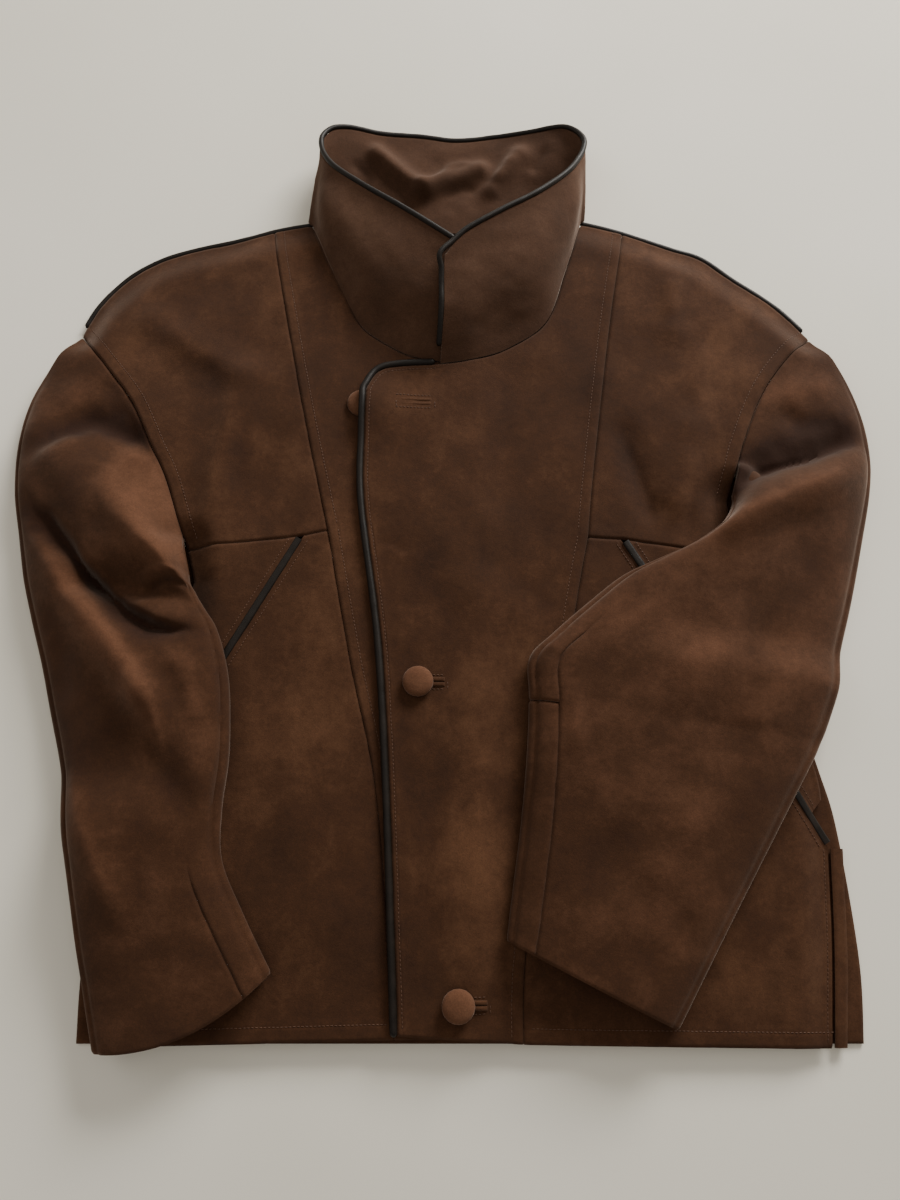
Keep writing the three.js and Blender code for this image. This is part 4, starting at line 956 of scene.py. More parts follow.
def back_panel():
    """The back, flat on the surface, with a rounded edge."""
    right_outline, left_outline = (
        np.vstack([
            plan_line(half["shoulder_inner"]).reverse().spaced(8),
            plan_line(half["shoulder_outer"]).spaced(40)[1:],
            plan_line(half["back_armhole"]).spaced(50)[1:],
            plan_line(half["back_side"]).spaced(70)[1:],
        ])
        for half in HALVES
    )
    neck = plan_line(BACK_NECK)
    left_edge, right_edge = Line(right_outline), Line(left_outline)
    hem = Line([right_outline[-1], left_outline[-1]])
    plan = patch(neck, hem, left_edge, right_edge, [0.1] * 4)
    x, y = plan[..., 0], plan[..., 1]
    edges = [neck, hem, left_edge, right_edge]
    d = np.minimum.reduce([nearest(x, y, line.spaced(160))[0] for line in edges])
    round_off = 0.9 * bell(d, 1.1)
    wave = 0.25 * noise(x, y, 40, 21) * smooth(3, 20, d)
    outer = np.dstack([x, y, WALL - round_off + np.minimum(wave, 0) * 0.6])
    inner = np.dstack([x, y, 0.02 + 0.35 * bell(d, 1.0) + 0 * x])
    points, faces = shell(outer, inner)
    seam = np.zeros(len(points))
    made = new_object("back_panel_cloth", points, faces, MATERIALS["body"], {"painted_light_and_nap": seam, "seam": seam})
    keep_surface("back_panel", outer)
    declare(made, "back_panel")


STRIP = {"width": 10, "top_z": 6.4, "outer_z": 5.7}


def side_strip():
    """Narrow strip beside the left front's lower edge, over the side vent."""
    edge = plan_line([p for p in LEFT["side"] if p[1] < LEFT["welt_end"][1] + 1])
    along = np.linspace(0, 1, 60)
    across = np.array([0, 0.04, 0.12, 0.25, 0.4, 0.55, 0.7, 0.85, 0.95, 1])
    base = edge.at(along)
    offset = lerp(SEAM_GAP, STRIP["width"], across)
    x = base[:, :1] + offset + 0.5 * noise(base[:, 1:], 0 * offset, 28, 31) * across
    y = base[:, 1:] + 0 * offset
    z = lerp(STRIP["top_z"], STRIP["outer_z"], across) + 0 * x
    d = np.minimum(offset - SEAM_GAP, STRIP["width"] - offset) + 0 * x
    outer = np.dstack([x, y, z - 0.8 * bell(d, 1.0) + 0.2 * noise(y, x, 11, 33)])
    inner = np.dstack([x, y, z - WALL + 0.4 * bell(d, 1.0)])
    points, faces = shell(outer, inner)
    field = np.zeros(len(points))
    fields = {"painted_light_and_nap": field, "seam": field}
    made = new_object("side_strip_left_cloth", points, faces, MATERIALS["body"], fields)
    declare(made, "side_strip_left")


# Sleeves


def support_under(half, height_at):
    """What a sleeve lies on: the surface, the back's edge, or the front."""
    outward = -1 if half is RIGHT else 1
    start = half["underarm"][1] if half is RIGHT else half["underarm"][0]
    front_side = plan_line(half["side"] if half is RIGHT else [start, *half["side"]]).spaced(20)
    back_side = plan_line(half["back_side"]).spaced(20)

    def outside(points, x, y):
        edge_x = np.interp(-y, -points[:, 1], points[:, 0])
        beside = np.maximum(0, outward * (x - edge_x))
        above = np.hypot(np.maximum(0, outward * (x - start[0])), y - start[1])
        return np.where(y > start[1], above, beside)

    def fall(distance):
        return 1 - smooth(SUPPORT_PLATEAU, SUPPORT_PLATEAU + SUPPORT_FALL, distance)

    def support(x, y):
        filled = height_at(x, y) + front_height(x, y, SUPPORT_MARGIN) - front_height(x, y)
        on_front = (filled + SLEEVE_CLEARANCE) * fall(outside(front_side, x, y))
        return np.maximum(on_front, (WALL + SEAM_GAP) * fall(outside(back_side, x, y)))

    return support


class Sleeve:
    """A flattened tube given by rows from the armhole to the cuff."""

    def __init__(self, half, rows, folds, creases, seed, settle):
        self.half = half
        self.rows = {key: np.array(values, float) for key, values in rows.items()}
        self.last = len(rows["ox"]) - 1
        self.folds = folds
        self.creases = creases
        self.seed = seed
        self.settle = settle
        self.height_at = front_height if half is RIGHT else lap_height
        self.support = support_under(half, self.height_at)
        armhole = [*half["armhole"], half["underarm"][1]] if half is RIGHT else half["armhole"]
        self.armhole = plan_line(armhole)

    def value(self, key, row):
        p = self.rows[key]
        k = min(int(row), self.last - 1)
        p0, p1, p2, p3 = (p[min(max(n, 0), self.last)] for n in (k - 1, k, k + 1, k + 2))
        t = row - k
        return 0.5 * (2 * p1 + (p2 - p0) * t + (2 * p0 - 5 * p1 + 4 * p2 - p3) * t**2
                      + (3 * p1 - p0 - 3 * p2 + p3) * t**3)

    def plan_at(self, row, t):
        """Plan point on a row, t from the outer fold to the inner one."""
        t = np.asarray(t, float)[..., None]
        a = np.array([self.value("ox", row), self.value("oy", row)])
        b = np.array([self.value("ix", row), self.value("iy", row)])
        normal = np.array([a[1] - b[1], b[0] - a[0]])
        normal = normal / np.linalg.norm(normal)
        normal = -normal if normal[1] > 0 else normal
        point = lerp(a, b, t) + normal * self.value("bow", row) * 4 * t * (1 - t)
        curved = max(0, 1 - row / ARMHOLE_CURVE_ROWS)
        chord = lerp(self.armhole.points[0], self.armhole.points[-1], t)
        point = point + (self.armhole.at(t[..., 0]) - chord) * curved
        outward = -1 if self.half is RIGHT else 1
        point[..., 0] += outward * ARMHOLE_GAP * max(0, 1 - row * 10)
        return point

    def row(self, row, path):
        """Outer and inner points of one row. The path lists (place, share) pairs round the tube."""
        width = np.linalg.norm(self.plan_at(row, 0.0) - self.plan_at(row, 1.0))
        fold = self.value("fold", row)
        span = width - 2 * fold
        flat = 1 - smooth(0, ARMHOLE_BLEND_ROWS, row)
        at = lambda u: self.plan_at(row, np.asarray(u) / width)

        def base(u):
            p = at(u)
            return self.support(p[..., 0], p[..., 1])

        outer_base = base(np.array([0, fold / 2, fold])).max()
        inner_base = base(np.array([width, width - fold / 2, width - fold])).max()

        def top_z(u):
            p = at(u)
            across = np.clip((u - fold) / span, 0, 1)
            crown = np.sqrt(np.maximum(0, 1 - np.abs(2 * across - 1) ** 3))
            edge = lerp(outer_base, inner_base, across) + 2 * fold
            tube = edge + (self.value("height", row) - 2 * fold) * crown
            floor = self.support(p[..., 0], p[..., 1])
            seam = np.maximum(self.height_at(p[..., 0], p[..., 1]), floor + 2 * fold)
            bends = main_folds(p[..., 0], p[..., 1], self.folds) * crown * (1 - flat)
            least = floor + min(2 * fold, 2 * WALL + MIN_SLEEVE_SPACE)
            return np.maximum(lerp(tube, seam, flat) + bends, least)

        seam_at = width - SEAM_FROM_EDGE
        under_end = fold + UNDER_SEAM_SHARE * span
        u, z, upper = [], [], []
        for place, share in path:
            if place == "top":
                here = lerp(seam_at, fold, share)
                u.append(here)
                z.append(top_z(here))
            elif place == "seam_side":
                here = lerp(width - fold, seam_at, share)
                u.append(here)
                z.append(top_z(here))
            elif place == "outer_turn":
                turn = np.radians(lerp(90, -90, share))
                high = top_z(np.array([fold]))[0]
                u.append(fold - fold * np.cos(turn))
                z.append(lerp(outer_base, high, (1 + np.sin(turn)) / 2))
            elif place == "inner_turn":
                turn = np.radians(lerp(-90, 90, share))
                high = top_z(np.array([width - fold]))[0]
                u.append(width - fold + fold * np.cos(turn))
                z.append(lerp(inner_base, high, (1 + np.sin(turn)) / 2))
            else:
                low, high = (fold, under_end) if place == "outer_bottom" else (under_end, width - fold)
                here = lerp(low, high, share)
                rest = base(here)
                near_outer = 1 - smooth(0, span / 10, here - fold)
                near_inner = 1 - smooth(0, span / 10, width - fold - here)
                rest = np.maximum(rest, lerp(rest, outer_base, near_outer))
                u.append(here)
                z.append(np.maximum(rest, lerp(rest, inner_base, near_inner)))
            upper.append(np.full(len(share), 0.0 if "bottom" in place else 1.0))
        u, z, upper = np.concatenate(u), np.concatenate(z), np.concatenate(upper)
        return u, z, upper, at


def sleeve_piece(node, sleeve, rows, path, borders_ends, seam_rows):
    """One cloth piece of a sleeve, with the seams at its ends and along its first and last rows.

    The seam along the tube shows from one to the other of the two seam_rows.
    """
    outer, inner, painted_lights, darks = [], [], [], []
    measured = []
    for row in rows:
        u, z, upper, at = sleeve.row(row, path)
        du, dz = np.gradient(u), np.gradient(z)
        size = np.maximum(np.hypot(du, dz), 1e-6)
        out_u, out_z = dz / size, -du / size
        run = np.concatenate([[0], np.cumsum(np.hypot(np.diff(u), np.diff(z)))])
        measured.append((u, z, upper, at, out_u, out_z, run))
    along = np.zeros((len(rows), len(measured[0][0])))
    places = np.array([m[3](m[0]) for m in measured])
    along[1:] = np.cumsum(np.linalg.norm(np.diff(places, axis=0), axis=2), axis=0)
    for k, (u, z, upper, at, out_u, out_z, run) in enumerate(measured):
        p = at(u)
        x, y = p[:, 0], p[:, 1]
        up = smooth(0, 0.9, out_z)
        creases = crease_folds(x, y, sleeve.creases, sleeve.seed)
        soft = undulation(x, y, sleeve.seed + 5)
        from_start, from_end = along[k], along[-1] - along[k]
        left, right = run, run[-1] - run
        relief = np.zeros(len(u))
        dark = np.zeros(len(u))
        shown = float(smooth(*seam_rows, rows[k]))
        for d, s, (seam, stitch), salt, weight in (
            (left, along[k], borders_ends[0], 1, shown), (right, along[k], borders_ends[1], 2, shown),
            (from_start, run, borders_ends[2], 3, 1), (from_end, run, borders_ends[3], 4, 1),
        ):
            relief -= weight * seam * bell(d, SEAM_REACH)
            # painted shade along the sleeve's seams
            dark = np.maximum(dark, weight * bell(d, DARK_REACH) if seam > 1 else 0)
            relief += weight * puckers(s, d, sleeve.seed + 9 * salt, sleeve.seed + salt)
            if stitch:
                relief += weight * ALLOWANCE_STAND * (1 - smooth(stitch - 0.5, stitch + 4, d))
                relief -= weight * SLEEVE_STITCH_DIP * bell(d - stitch, 1.0)
        fade = smooth(0, sleeve.settle, from_start)
        bend = np.where(upper > 0, (creases + soft) * lerp(0.2, 1, fade) * up, 0)
        relief = np.where(upper > 0, relief, -1.0 * bell(np.minimum(left, right), 1.2))
        relief = np.maximum(relief, -1.6)
        ou, oz = u + out_u * relief, z + out_z * relief + bend
        iu, iz = u - out_u * WALL, z - out_z * WALL + bend
        po, pi = at(ou), at(iu)
        outer.append(np.column_stack([po, oz]))
        inner.append(np.column_stack([pi, iz]))
        # painted light on upward-facing fold ridges and painted shade in the fold troughs
        painted_lights.append(np.clip(creases, -6, 4) * up + 0.5 * soft)
        darks.append(dark)
    outer, inner = np.array(outer), np.array(inner)
    points, faces = shell(outer, inner)
    blank = np.zeros(outer.shape[0] * outer.shape[1])
    fields = {
        "painted_light_and_nap": np.concatenate([np.ravel(painted_lights), blank]),
        "seam": np.concatenate([np.ravel(darks), blank]),
    }
    made = new_object(node + "_cloth", points, faces, MATERIALS["sleeve"], fields)
    keep_surface(node, outer)
    return declare(made, node)


ROW_LENGTH = 42


def row_list(start, end):
    length = (end - start) * ROW_LENGTH
    cells = int((length - 2 * BORDER_LINES[-1]) / 4.0)
    return start + graded(length, cells, 0, 0) * (end - start)


SEAM_SHARES = np.array([0, 0.003, 0.008, 0.016, 0.026, 0.038, 0.052, 0.068])


def piece_path(kind):
    """Places round the tube for the top or the under piece, from its first seam to its second."""
    turn = np.linspace(0, 1, 13)
    if kind == "top":
        top = np.concatenate([SEAM_SHARES, np.linspace(0.085, 1, 52)])
        bottom = np.linspace(0, 1, 14)
        return [("top", top), ("outer_turn", turn[1:-1]), ("outer_bottom", bottom)]
    return [("inner_bottom", np.linspace(0, 1, 34)), ("inner_turn", turn[1:-1]),
            ("seam_side", np.linspace(0, 1, 13))]


def sleeves():
    for side, half, rows, folds, creases, seed, seam_rows, settle in (
        ("right", RIGHT, RIGHT_ROWS, RIGHT_SLEEVE_FOLDS, RIGHT_SLEEVE_CREASES, 201, (11.6, 12.4), 10),
        ("left", LEFT, LEFT_ROWS, LEFT_SLEEVE_FOLDS, LEFT_SLEEVE_CREASES, 231, (7.2, 8.4), 30),
    ):
        sleeve = Sleeve(half, rows, folds, creases, seed, settle)
        ends = [(SEAM_DROP, None)] * 3 + [(CUFF_DROP, None)]
        whole = row_list(0, sleeve.last)
        sleeve_piece(f"sleeve_{side}_top", sleeve, whole, piece_path("top"), ends, seam_rows)
        if side == "left":
            upper = row_list(0, GUSSET_END_ROW - ROW_HALF_GAP)
            lower = row_list(GUSSET_END_ROW + ROW_HALF_GAP, sleeve.last)
            sleeve_piece("sleeve_left_gusset", sleeve, upper, piece_path("under"), ends, seam_rows)
            sleeve_piece("sleeve_left_under", sleeve, lower, piece_path("under"), ends, seam_rows)
        else:
            sleeve_piece("sleeve_right_under", sleeve, whole, piece_path("under"), ends, seam_rows)


# Collar

COLLAR_ROWS = 44


def collar_grid():
    """Middle of the collar's cloth, columns round the neck by rows up to the rim."""
    half_wall = lambda p, height_at: np.column_stack([p, height_at(p[:, 0], p[:, 1]) - HALF_WALL])
    share_front, share_back = np.linspace(0, 1, 71), np.linspace(0, 1, 131)
    under = half_wall(plan_line(RIGHT["neckline"]).at(1 - share_front), front_height)
    over = half_wall(plan_line(LEFT["neckline"]).at(1 - share_front), lap_height)
    base = np.vstack([under[:-1], space_line(BACK_BASE).at(share_back), over[1:]])
    rim = np.vstack([
        space_line(UNDER_RIM).at(share_front)[:-1],
        space_line(BACK_RIM).at(share_back),
        space_line(OVER_RIM).at(share_front)[1:],
    ])
    front = np.concatenate([
        1 - smooth(0.8, 1, share_front)[:-1], 0 * share_back, smooth(0, 0.2, share_front)[1:],
    ])
    v = np.concatenate([np.linspace(0, 0.94, COLLAR_ROWS - 4), [0.96, 0.975, 0.988, 0.996, 1]])
    straight = lerp(base[:, None], rim[:, None], v[None, :, None])
    normals = grid_normals(straight)
    bow = COLLAR_BULGE * front[:, None] * np.sin(np.pi * v) ** 2
    points = straight + normals * bow[..., None]
    back = 1 - front[:, None]
    x, y = points[..., 0], points[..., 1]
    crumple = main_folds(x, y, COLLAR_FOLDS) + crease_folds(x, y, COLLAR_CREASES, 61)
    points[..., 2] += crumple * smooth(0.1, 0.4, v) * (1 - smooth(0.86, 1, v)) * back
    soft = 1.1 * noise(x + points[..., 2], y, 34, 65) + 0.35 * noise(x, y + points[..., 2], 12, 66)
    points += normals * (soft * smooth(0, 0.2, v) * (1 - 0.8 * smooth(0.85, 1, v)))[..., None]
    return points, v


def collar():
    middle, v = collar_grid()
    normals = grid_normals(middle)
    faces_of = []
    for amount in (HALF_WALL, -HALF_WALL):
        thin = amount * (1 - 0.35 * smooth(0.985, 1, v))[None, :, None]
        moved = middle + normals * thin
        base = middle[:, 0]
        along = np.gradient(base, axis=0)
        inside = np.column_stack([-along[:, 1], along[:, 0]])
        inside = inside / np.linalg.norm(inside, axis=1, keepdims=True)
        towards = np.array(NECK_MIDDLE) - base[:, :2]
        inside *= np.sign((inside * towards).sum(1))[:, None]
        offset = (normals[:, 0] * amount)[:, :2]
        step = SEAM_GAP + np.maximum(0, -(inside * offset).sum(1))
        fade = (1 - smooth(0, 0.06, v))[None, :, None]
        moved[..., :2] += inside[:, None] * step[:, None, None] * fade
        moved[..., 2] = np.maximum(moved[..., 2], 0.02)
        faces_of.append(moved)
    outer, inner = faces_of
    points, faces = shell(outer, inner)
    # painted shade: the collar darker towards its base and on its inner face, lighter towards the rim, and
    # darker along its base crease
    height = np.tile(np.linspace(-0.4, 0.6, len(v)), (len(middle), 1))
    painted_light_and_nap = np.concatenate([height.ravel(), height.ravel() - 1.0])
    seam = np.tile(bell(np.linspace(0, 60, len(v)), 2.0), (len(middle), 1)).ravel()
    made = new_object("collar_cloth", points, faces, MATERIALS["collar"],
                      {"painted_light_and_nap": painted_light_and_nap, "seam": np.concatenate([seam, seam])})
    keep_surface("collar", inner)
    declare(made, "collar")
    return middle


# Leather trim

PIPING_SIDES = 14
PIPING_SWELL = 0.35
PLACKET_SWELL = 0.9
PIPING_STEP = 1.6


def tube(name, node, path, radius=PIPING_RADIUS + PIPING_SWELL):
    """A round cord of leather along a path, with rounded ends."""
    line = space_line(path)
    count = int(line.length / PIPING_STEP)
    share = np.linspace(0, 1, count + 1)
    centre = line.at(share)
    tangent = np.gradient(centre, axis=0)
    tangent /= np.linalg.norm(tangent, axis=1, keepdims=True)
    up = np.array([0.0, 0.0, 1.0])
    side = np.cross(tangent, up)
    side /= np.maximum(np.linalg.norm(side, axis=1, keepdims=True), 1e-6)
    top = np.cross(side, tangent)
    turn = np.linspace(0, 2 * np.pi, PIPING_SIDES, endpoint=False)
    place = share * line.length
    near_end = np.minimum(place, line.length - place)
    grow = np.sqrt(1 - np.clip(1 - near_end / radius, 0, 0.92) ** 2)
    wobble = 1 + 0.05 * noise(place, 0 * place, 9, 71)
    reach = (radius * grow * wobble)[:, None, None]
    ring = side[:, None] * np.cos(turn)[None, :, None] + top[:, None] * np.sin(turn)[None, :, None]
    rings = centre[:, None] + ring * reach
    rows, columns = rings.shape[:2]
    index = np.arange(rows * columns).reshape(rows, columns)
    a, b = index[:-1], np.roll(index, -1, axis=1)[:-1]
    c, d = np.roll(index, -1, axis=1)[1:], index[1:]
    faces = np.stack([a, b, c, d], axis=-1).reshape(-1, 4).tolist()
    faces.append(index[0, ::-1].tolist())
    faces.append(index[-1].tolist())
    data_points = rings.reshape(-1, 3)
    data = bpy.data.meshes.new(name)
    data.from_pydata((data_points * MM).tolist(), [], faces)
    data.polygons.foreach_set("use_smooth", [True] * len(data.polygons))
    data.materials.append(MATERIALS["leather"])
    made = bpy.data.objects.new(name, data)
    bpy.context.scene.collection.objects.link(made)
    return declare(made, node)


def beyond(edge, inside, along):
    """Steps off a cloth edge, square to it and away from the cloth."""
    along = along / np.linalg.norm(along, axis=-1, keepdims=True)
    away = edge - inside
    away = away - along * (away * along).sum(-1, keepdims=True)
    away = away / np.linalg.norm(away, axis=-1, keepdims=True)
    return edge + away * (PIPING_RADIUS + SEAM_GAP)


def collar_piping(middle):
    rim = middle[:, -1]
    rim_path = beyond(rim, middle[:, -4], np.gradient(rim, axis=0))
    front = middle[-1]
    front_path = beyond(front, middle[-4], np.gradient(front, axis=0))
    corner = rim_path[-1] + front_path[-1] - front[-1]
    path = np.vstack([rim_path[6:-1:6], corner, front_path[-8:1:-6]])
    tube("collar_piping_leather", "collar_piping", path)


def placket_piping():
    reach = PIPING_RADIUS + SEAM_GAP
    top = plan_line(LEFT["lap_top"][::-1]).spaced(16)
    line = np.vstack([top, plan_line(LEFT["front_edge"]).spaced(72)[1:]])
    along = np.gradient(line, axis=0)
    outward = np.column_stack([along[:, 1], -along[:, 0]])
    outward /= np.linalg.norm(outward, axis=1, keepdims=True)
    z = lap_height(line[:, 0], line[:, 1]) - HALF_WALL + 0.4
    path = np.column_stack([line + outward * reach, z])
    tube("placket_piping_leather", "placket_piping", path[1:], PIPING_RADIUS + PLACKET_SWELL)


def shoulder_piping(side, half):
    reach = PIPING_RADIUS + SEAM_GAP
    inner = plan_line(half["shoulder_inner"][::-1]).spaced(6)
    line = np.vstack([inner, plan_line(half["shoulder_outer"]).spaced(40)[1:]])[:-2]
    along = np.gradient(line, axis=0)
    outward = np.column_stack([-along[:, 1], along[:, 0]])
    outward /= np.linalg.norm(outward, axis=1, keepdims=True)
    outward *= np.sign(outward[:, 1:])
    z = np.full(len(line), SHOULDER_EDGE_Z / 2)
    path = np.column_stack([line + outward * reach, z])
    tube(f"shoulder_piping_{side}_leather", f"shoulder_piping_{side}", path)


def pocket_welt(side, half, height_at):
    """A folded leather strip set into the slanted pocket seam."""
    start, end = np.array(half["welt_top"], float), np.array(half["welt_end"], float)
    along = (end - start) / np.linalg.norm(end - start)
    across = np.array([-along[1], along[0]])
    a, b = start + along * WELT_WIDTH / 2, end - along * WELT_WIDTH
    cells = 130
    share = np.linspace(-1, 1, 13)
    middle = lerp(a, b, np.linspace(0, 1, cells + 1)[:, None])
    p = middle[:, None] + across * (share * (WELT_WIDTH / 2 + WELT_LAP))[None, :, None]
    x, y = p[..., 0], p[..., 1]
    crown = WELT_CROWN * np.sqrt(np.maximum(0, 1 - np.abs(share) ** 4)) - 0.3
    run = np.linspace(0, np.linalg.norm(b - a), cells + 1)[:, None]
    pull = 0.18 * noise(run + 0 * x, 3 * share + 0 * x, 7, 81)
    z = height_at(x, y) + crown + pull
    outer = np.dstack([x, y, z])
    inner = np.dstack([x, y, height_at(x, y) - WALL + 0.3])
    points, faces = shell(outer, inner)
    made = new_object(f"pocket_welt_{side}_leather", points, faces, MATERIALS["leather"])
    declare(made, f"pocket_welt_{side}")


# Buttons and buttonholes


def highest(height_at, x, y, radius):
    turn = np.linspace(0, 2 * np.pi, 24, endpoint=False)
    ring = height_at(x + radius * np.cos(turn), y + radius * np.sin(turn))
    return max(float(ring.max()), float(height_at(x, y)))


BUTTON_FLOOR_GAP = 1.6
BUTTON_SIDES = 72

# Radius and height of the button's outline, as shares of its own
BUTTON_PROFILE = [
    (0.05, 0), (0.5, 0), (0.82, 0.0), (0.93, 0.05), (0.985, 0.16), (1.0, 0.30), (0.985, 0.44), (0.94, 0.57),
    (0.87, 0.69), (0.78, 0.79), (0.66, 0.87), (0.52, 0.93), (0.36, 0.97), (0.18, 0.995), (0.03, 1.0),
]


def button(name, x, y, height, tucked):
    """A domed button covered in the jacket's suede, gathered a little under its rim."""
    floor = highest(front_height if tucked else lap_height, x, y, BUTTON_RADIUS)
    floor += SEAM_GAP if tucked else BUTTON_FLOOR_GAP
    turn = np.linspace(0, 2 * np.pi, BUTTON_SIDES, endpoint=False)
    rings = []
    for r, z in BUTTON_PROFILE:
        gather = 0.16 * np.cos(17 * turn) * bell(z - 0.1, 0.22)
        bumpy = 0.12 * noise(6 * r * np.cos(turn), 6 * r * np.sin(turn), 2.4, 91)
        radius = BUTTON_RADIUS * r + gather * r
        level = floor + height * z + bumpy * z
        rings.append(np.column_stack([x + radius * np.cos(turn), y + radius * np.sin(turn), level]))
    points = np.vstack(rings)
    rows, columns = len(BUTTON_PROFILE), BUTTON_SIDES
    index = np.arange(rows * columns).reshape(rows, columns)
    after = np.roll(index, -1, axis=1)
    faces = np.stack([index[:-1], after[:-1], after[1:], index[1:]], axis=-1).reshape(-1, 4).tolist()
    faces.append(index[0, ::-1].tolist())
    faces.append(index[-1].tolist())
    data = bpy.data.meshes.new(f"button_{name}_cover")
    data.from_pydata((points * MM).tolist(), [], faces)
    data.polygons.foreach_set("use_smooth", [True] * len(data.polygons))
    for key in ("painted_light_and_nap", "seam"):
        data.attributes.new(key, "FLOAT", "POINT")
    data.materials.append(MATERIALS["button"])
    made = bpy.data.objects.new(f"button_{name}_cover", data)
    bpy.context.scene.collection.objects.link(made)
    declare(made, f"button_{name}")


HOLE_LENGTH = 28
HOLE_WIDTH = 7
HOLE_STITCH = 2.2
SLIT_WIDTH = 0.7
HOLE_PROUD = 1.3


def buttonhole(name, x, y):
    """A bound buttonhole: two narrow lips of suede that meet along the slit."""
    along = np.linspace(-1, 1, 57)
    across = np.linspace(0, 1, 11)
    for side, sign in (("upper", 1), ("lower", -1)):
        lip = lerp(SLIT_WIDTH / 2, HOLE_WIDTH / 2, across)
        px = x + along[:, None] * HOLE_LENGTH / 2 + 0 * lip
        py = y + sign * lip + 0 * px + 0.15 * noise(px, 0 * px, 8, 95)
        roll = np.sqrt(np.maximum(0, 1 - np.abs(2 * across - 1) ** 2.6))
        ends = 1 - np.abs(along[:, None]) ** 14
        z = lap_height(px, py) + SEAM_GAP + (HOLE_PROUD - SEAM_GAP) * roll * ends
        outer = np.dstack([px, py, z])
        inner = np.dstack([px, py, lap_height(px, py) - 0.2])
        points, faces = shell(outer, inner)
        field = np.zeros(len(points))
        # the lips are lightened as a raised ridge is, which is painted light
        made = new_object(f"buttonhole_{name}_{side}_lip", points, faces, MATERIALS["body"],
                          {"painted_light_and_nap": field + 0.6, "seam": field})
        declare(made, f"buttonhole_{name}")


# Sewing

STITCH_LENGTH = 2.2
STITCH_WIDTH = 0.55


def stitch_template():
    """Points and faces of one stitch along +X, lying on the XY plane."""
    sides = 6
    rings = [(-0.5, 0.35), (-0.36, 0.85), (0, 1.0), (0.36, 0.85), (0.5, 0.35)]
    turn = np.linspace(0, 2 * np.pi, sides, endpoint=False)
    points = []
    for along, size in rings:
        sag = 0.16 * (1 - (2 * along) ** 2)
        points += [(along * STITCH_LENGTH, size * STITCH_WIDTH / 2 * math.cos(t),
                    sag + size * STITCH_WIDTH / 2 * math.sin(t)) for t in turn]
    faces = []
    for i in range(len(rings) - 1):
        for j in range(sides):
            a, b = i * sides + j, i * sides + (j + 1) % sides
            faces.append((a, a + sides, b + sides, b))
    caps = [(0, 1, 2, 3), (0, 3, 4, 5)]
    last = (len(rings) - 1) * sides
    faces += caps + [tuple(last + k for k in cap[::-1]) for cap in caps]
    return np.array(points), np.array(faces)


STITCH_POINTS, STITCH_FACES = stitch_template()


def stitch_row(surface, line, offset, towards, trim=(2.0, 2.0), seed=0):
    """Stitches beside a line, on the side where the given point is."""
    dense = line.spaced(400)
    along = np.gradient(dense, axis=0)
    normal = np.column_stack([-along[:, 1], along[:, 0]])
    normal /= np.linalg.norm(normal, axis=1, keepdims=True)
    mid = len(dense) // 2
    if (normal[mid] * (np.array(towards) - dense[mid])).sum() < 0:
        normal = -normal
    path = Line(dense + normal * offset)
    count = int((path.length - sum(trim)) / STITCH_PITCH)
    places = trim[0] + STITCH_PITCH * np.arange(count)
    sway = 0.12 * noise(places, 0 * places, 6, seed + 300)
    points = path.at(places / path.length)
    ahead = path.at((places + 0.8) / path.length)
    made = []
    for p, q, s in zip(points, ahead, sway):
        hit = drop(surface, p[0], p[1])
        if hit is None:
            continue
        place, up = hit
        forward = np.array([q[0] - p[0], q[1] - p[1], 0])
        forward -= up * (forward * up).sum()
        forward /= np.linalg.norm(forward)
        side = np.cross(up, forward)
        tilt = 0.06 * np.sin(17 * p[0] + 11 * p[1])
        forward = forward + side * tilt
        frame_axes = np.array([forward, side, up])
        made.append(STITCH_POINTS @ frame_axes + place + side * s + up * 0.05)
    return made


def sew(name, rows):
    """One joined mesh of all the stitches in the rows."""
    stitches = [s for row in rows for s in row]
    if not stitches:
        return
    points = np.vstack(stitches)
    step = len(STITCH_POINTS)
    faces = np.vstack([STITCH_FACES + k * step for k in range(len(stitches))])
    made = new_object(name, points, faces, MATERIALS["thread"])
    declare(made, None)


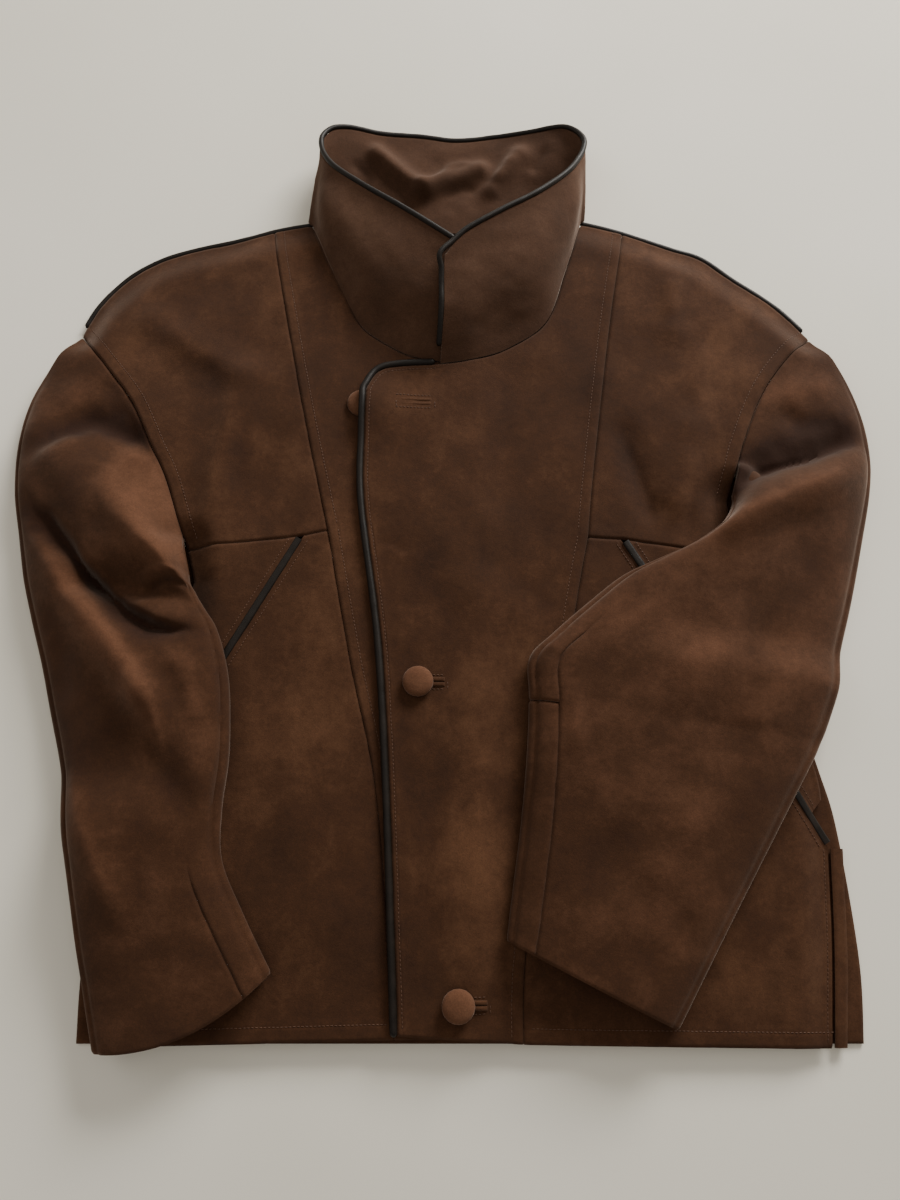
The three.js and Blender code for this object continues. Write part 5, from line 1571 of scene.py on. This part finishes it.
def sewing():
    body = []
    for side, half in (("right", RIGHT), ("left", LEFT)):
        line = lines_of(half)
        centre, yoke = f"front_{side}_center", f"front_{side}_yoke"
        lower, pocket = f"front_{side}_lower", f"front_{side}_pocket_side"
        middle = (-20, 0)
        body.append(stitch_row(centre, line["princess_top"], PRINCESS_STITCH, middle))
        body.append(stitch_row(centre, line["princess_low"], PRINCESS_STITCH, middle))
        body.append(stitch_row(yoke, line["armhole"], ARMHOLE_STITCH, middle))
        body.append(stitch_row(lower, line["welt"], WELT_WIDTH / 2 + WELT_STITCH, middle))
        body.append(stitch_row(lower, line["hem"], HEM_STITCH, (0, 0)))
        body.append(stitch_row(lower, line["side_low"], 6, middle))
        outside = (half["side"][0][0], half["side"][0][1])
        body.append(stitch_row(pocket, line["pocket_welt"], WELT_WIDTH / 2 + WELT_STITCH, outside))
    edge = plan_line(LEFT["front_edge"])
    body.append(stitch_row("front_left_center", edge, PLACKET_STITCH, (60, 0)))
    body.append(stitch_row("front_left_center", plan_line(LEFT["lap_top"]), PLACKET_STITCH, (-30, 100)))
    for spec in BUTTONHOLES:
        x, y = spec["x"], spec["y"]
        sides = (x - HOLE_LENGTH / 2 - HOLE_STITCH, x + HOLE_LENGTH / 2 + HOLE_STITCH)
        ends = (y - HOLE_WIDTH / 2 - HOLE_STITCH, y + HOLE_WIDTH / 2 + HOLE_STITCH)
        borders = [([(sides[0], level), (sides[1], level)], 0.6) for level in ends]
        borders += [([(place, ends[0]), (place, ends[1])], 1.4) for place in sides]
        for border, trim in borders:
            body.append(stitch_row("front_left_center", Line(border), 0, (x, y), (trim, trim)))
    sew("topstitching", body)


# Setting


def floor():
    data = bpy.data.meshes.new("floor")
    size = 30.0
    corners = [(-size, -size, 0), (size, -size, 0), (size, size, 0), (-size, size, 0)]
    data.from_pydata(corners, [], [(0, 1, 2, 3)])
    n = Nodes("floor")
    cloud = n.noise(2.5, 3.0, 0.5)
    colour = n.ramp(cloud, [(0.3, linear(234, 228, 212)), (0.7, linear(243, 237, 223))])
    n.link(colour, n.shader.inputs["Base Color"])
    n.shader.inputs["Roughness"].default_value = 0.9
    data.materials.append(n.material)
    made = bpy.data.objects.new("floor", data)
    bpy.context.scene.collection.objects.link(made)
    made.location.z = -0.0004
    made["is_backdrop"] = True


def area_light(name, place, target, size, power, colour):
    data = bpy.data.lights.new(name, "AREA")
    data.shape = "RECTANGLE"
    data.size, data.size_y = size
    data.energy = power
    data.color = colour
    made = bpy.data.objects.new(name, data)
    made.location = place
    made.rotation_euler = (Vector(target) - Vector(place)).to_track_quat("-Z", "Y").to_euler()
    bpy.context.scene.collection.objects.link(made)


def studio():
    area_light("window", (1.3, 2.3, 1.15), (0, 0.1, 0), (1.5, 0.9), 128, (1.0, 0.985, 0.955))
    area_light("side", (-1.6, 1.0, 1.6), (0, 0, 0), (1.2, 1.2), 6, (1.0, 0.97, 0.93))
    area_light("overhead", (0.1, -0.2, 2.4), (0, 0, 0), (2.0, 2.0), 6, (1.0, 0.95, 0.88))
    world = bpy.data.worlds.new("studio")
    world.use_nodes = True
    world.node_tree.nodes["Background"].inputs["Color"].default_value = (1.0, 0.96, 0.9, 1)
    world.node_tree.nodes["Background"].inputs["Strength"].default_value = 0.35
    bpy.context.scene.world = world


CAMERA_PLACE = (-0.005, -0.204, 0.730)
CAMERA_TILT = 14.5
CAMERA_LENS = 27.6


def camera():
    data = bpy.data.cameras.new("camera")
    data.lens = CAMERA_LENS
    data.sensor_width = 36
    made = bpy.data.objects.new("camera", data)
    made.location = CAMERA_PLACE
    made.rotation_euler = (math.radians(CAMERA_TILT), 0, 0)
    bpy.context.scene.collection.objects.link(made)
    bpy.context.scene.camera = made


back_panel()
fronts()
side_strip()
sleeves()
collar_piping(collar())
placket_piping()
for side, half, height_at in (("right", RIGHT, front_height), ("left", LEFT, lap_height)):
    shoulder_piping(side, half)
    pocket_welt(side, half, height_at)
for spec in BUTTONS:
    button(**spec)
for spec in BUTTONHOLES:
    buttonhole(**spec)
sewing()
floor()
studio()
camera()

visual = [list(corner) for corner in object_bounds()]
{"cad": [list(corner) for corner in cad_bounds], "visual": visual}
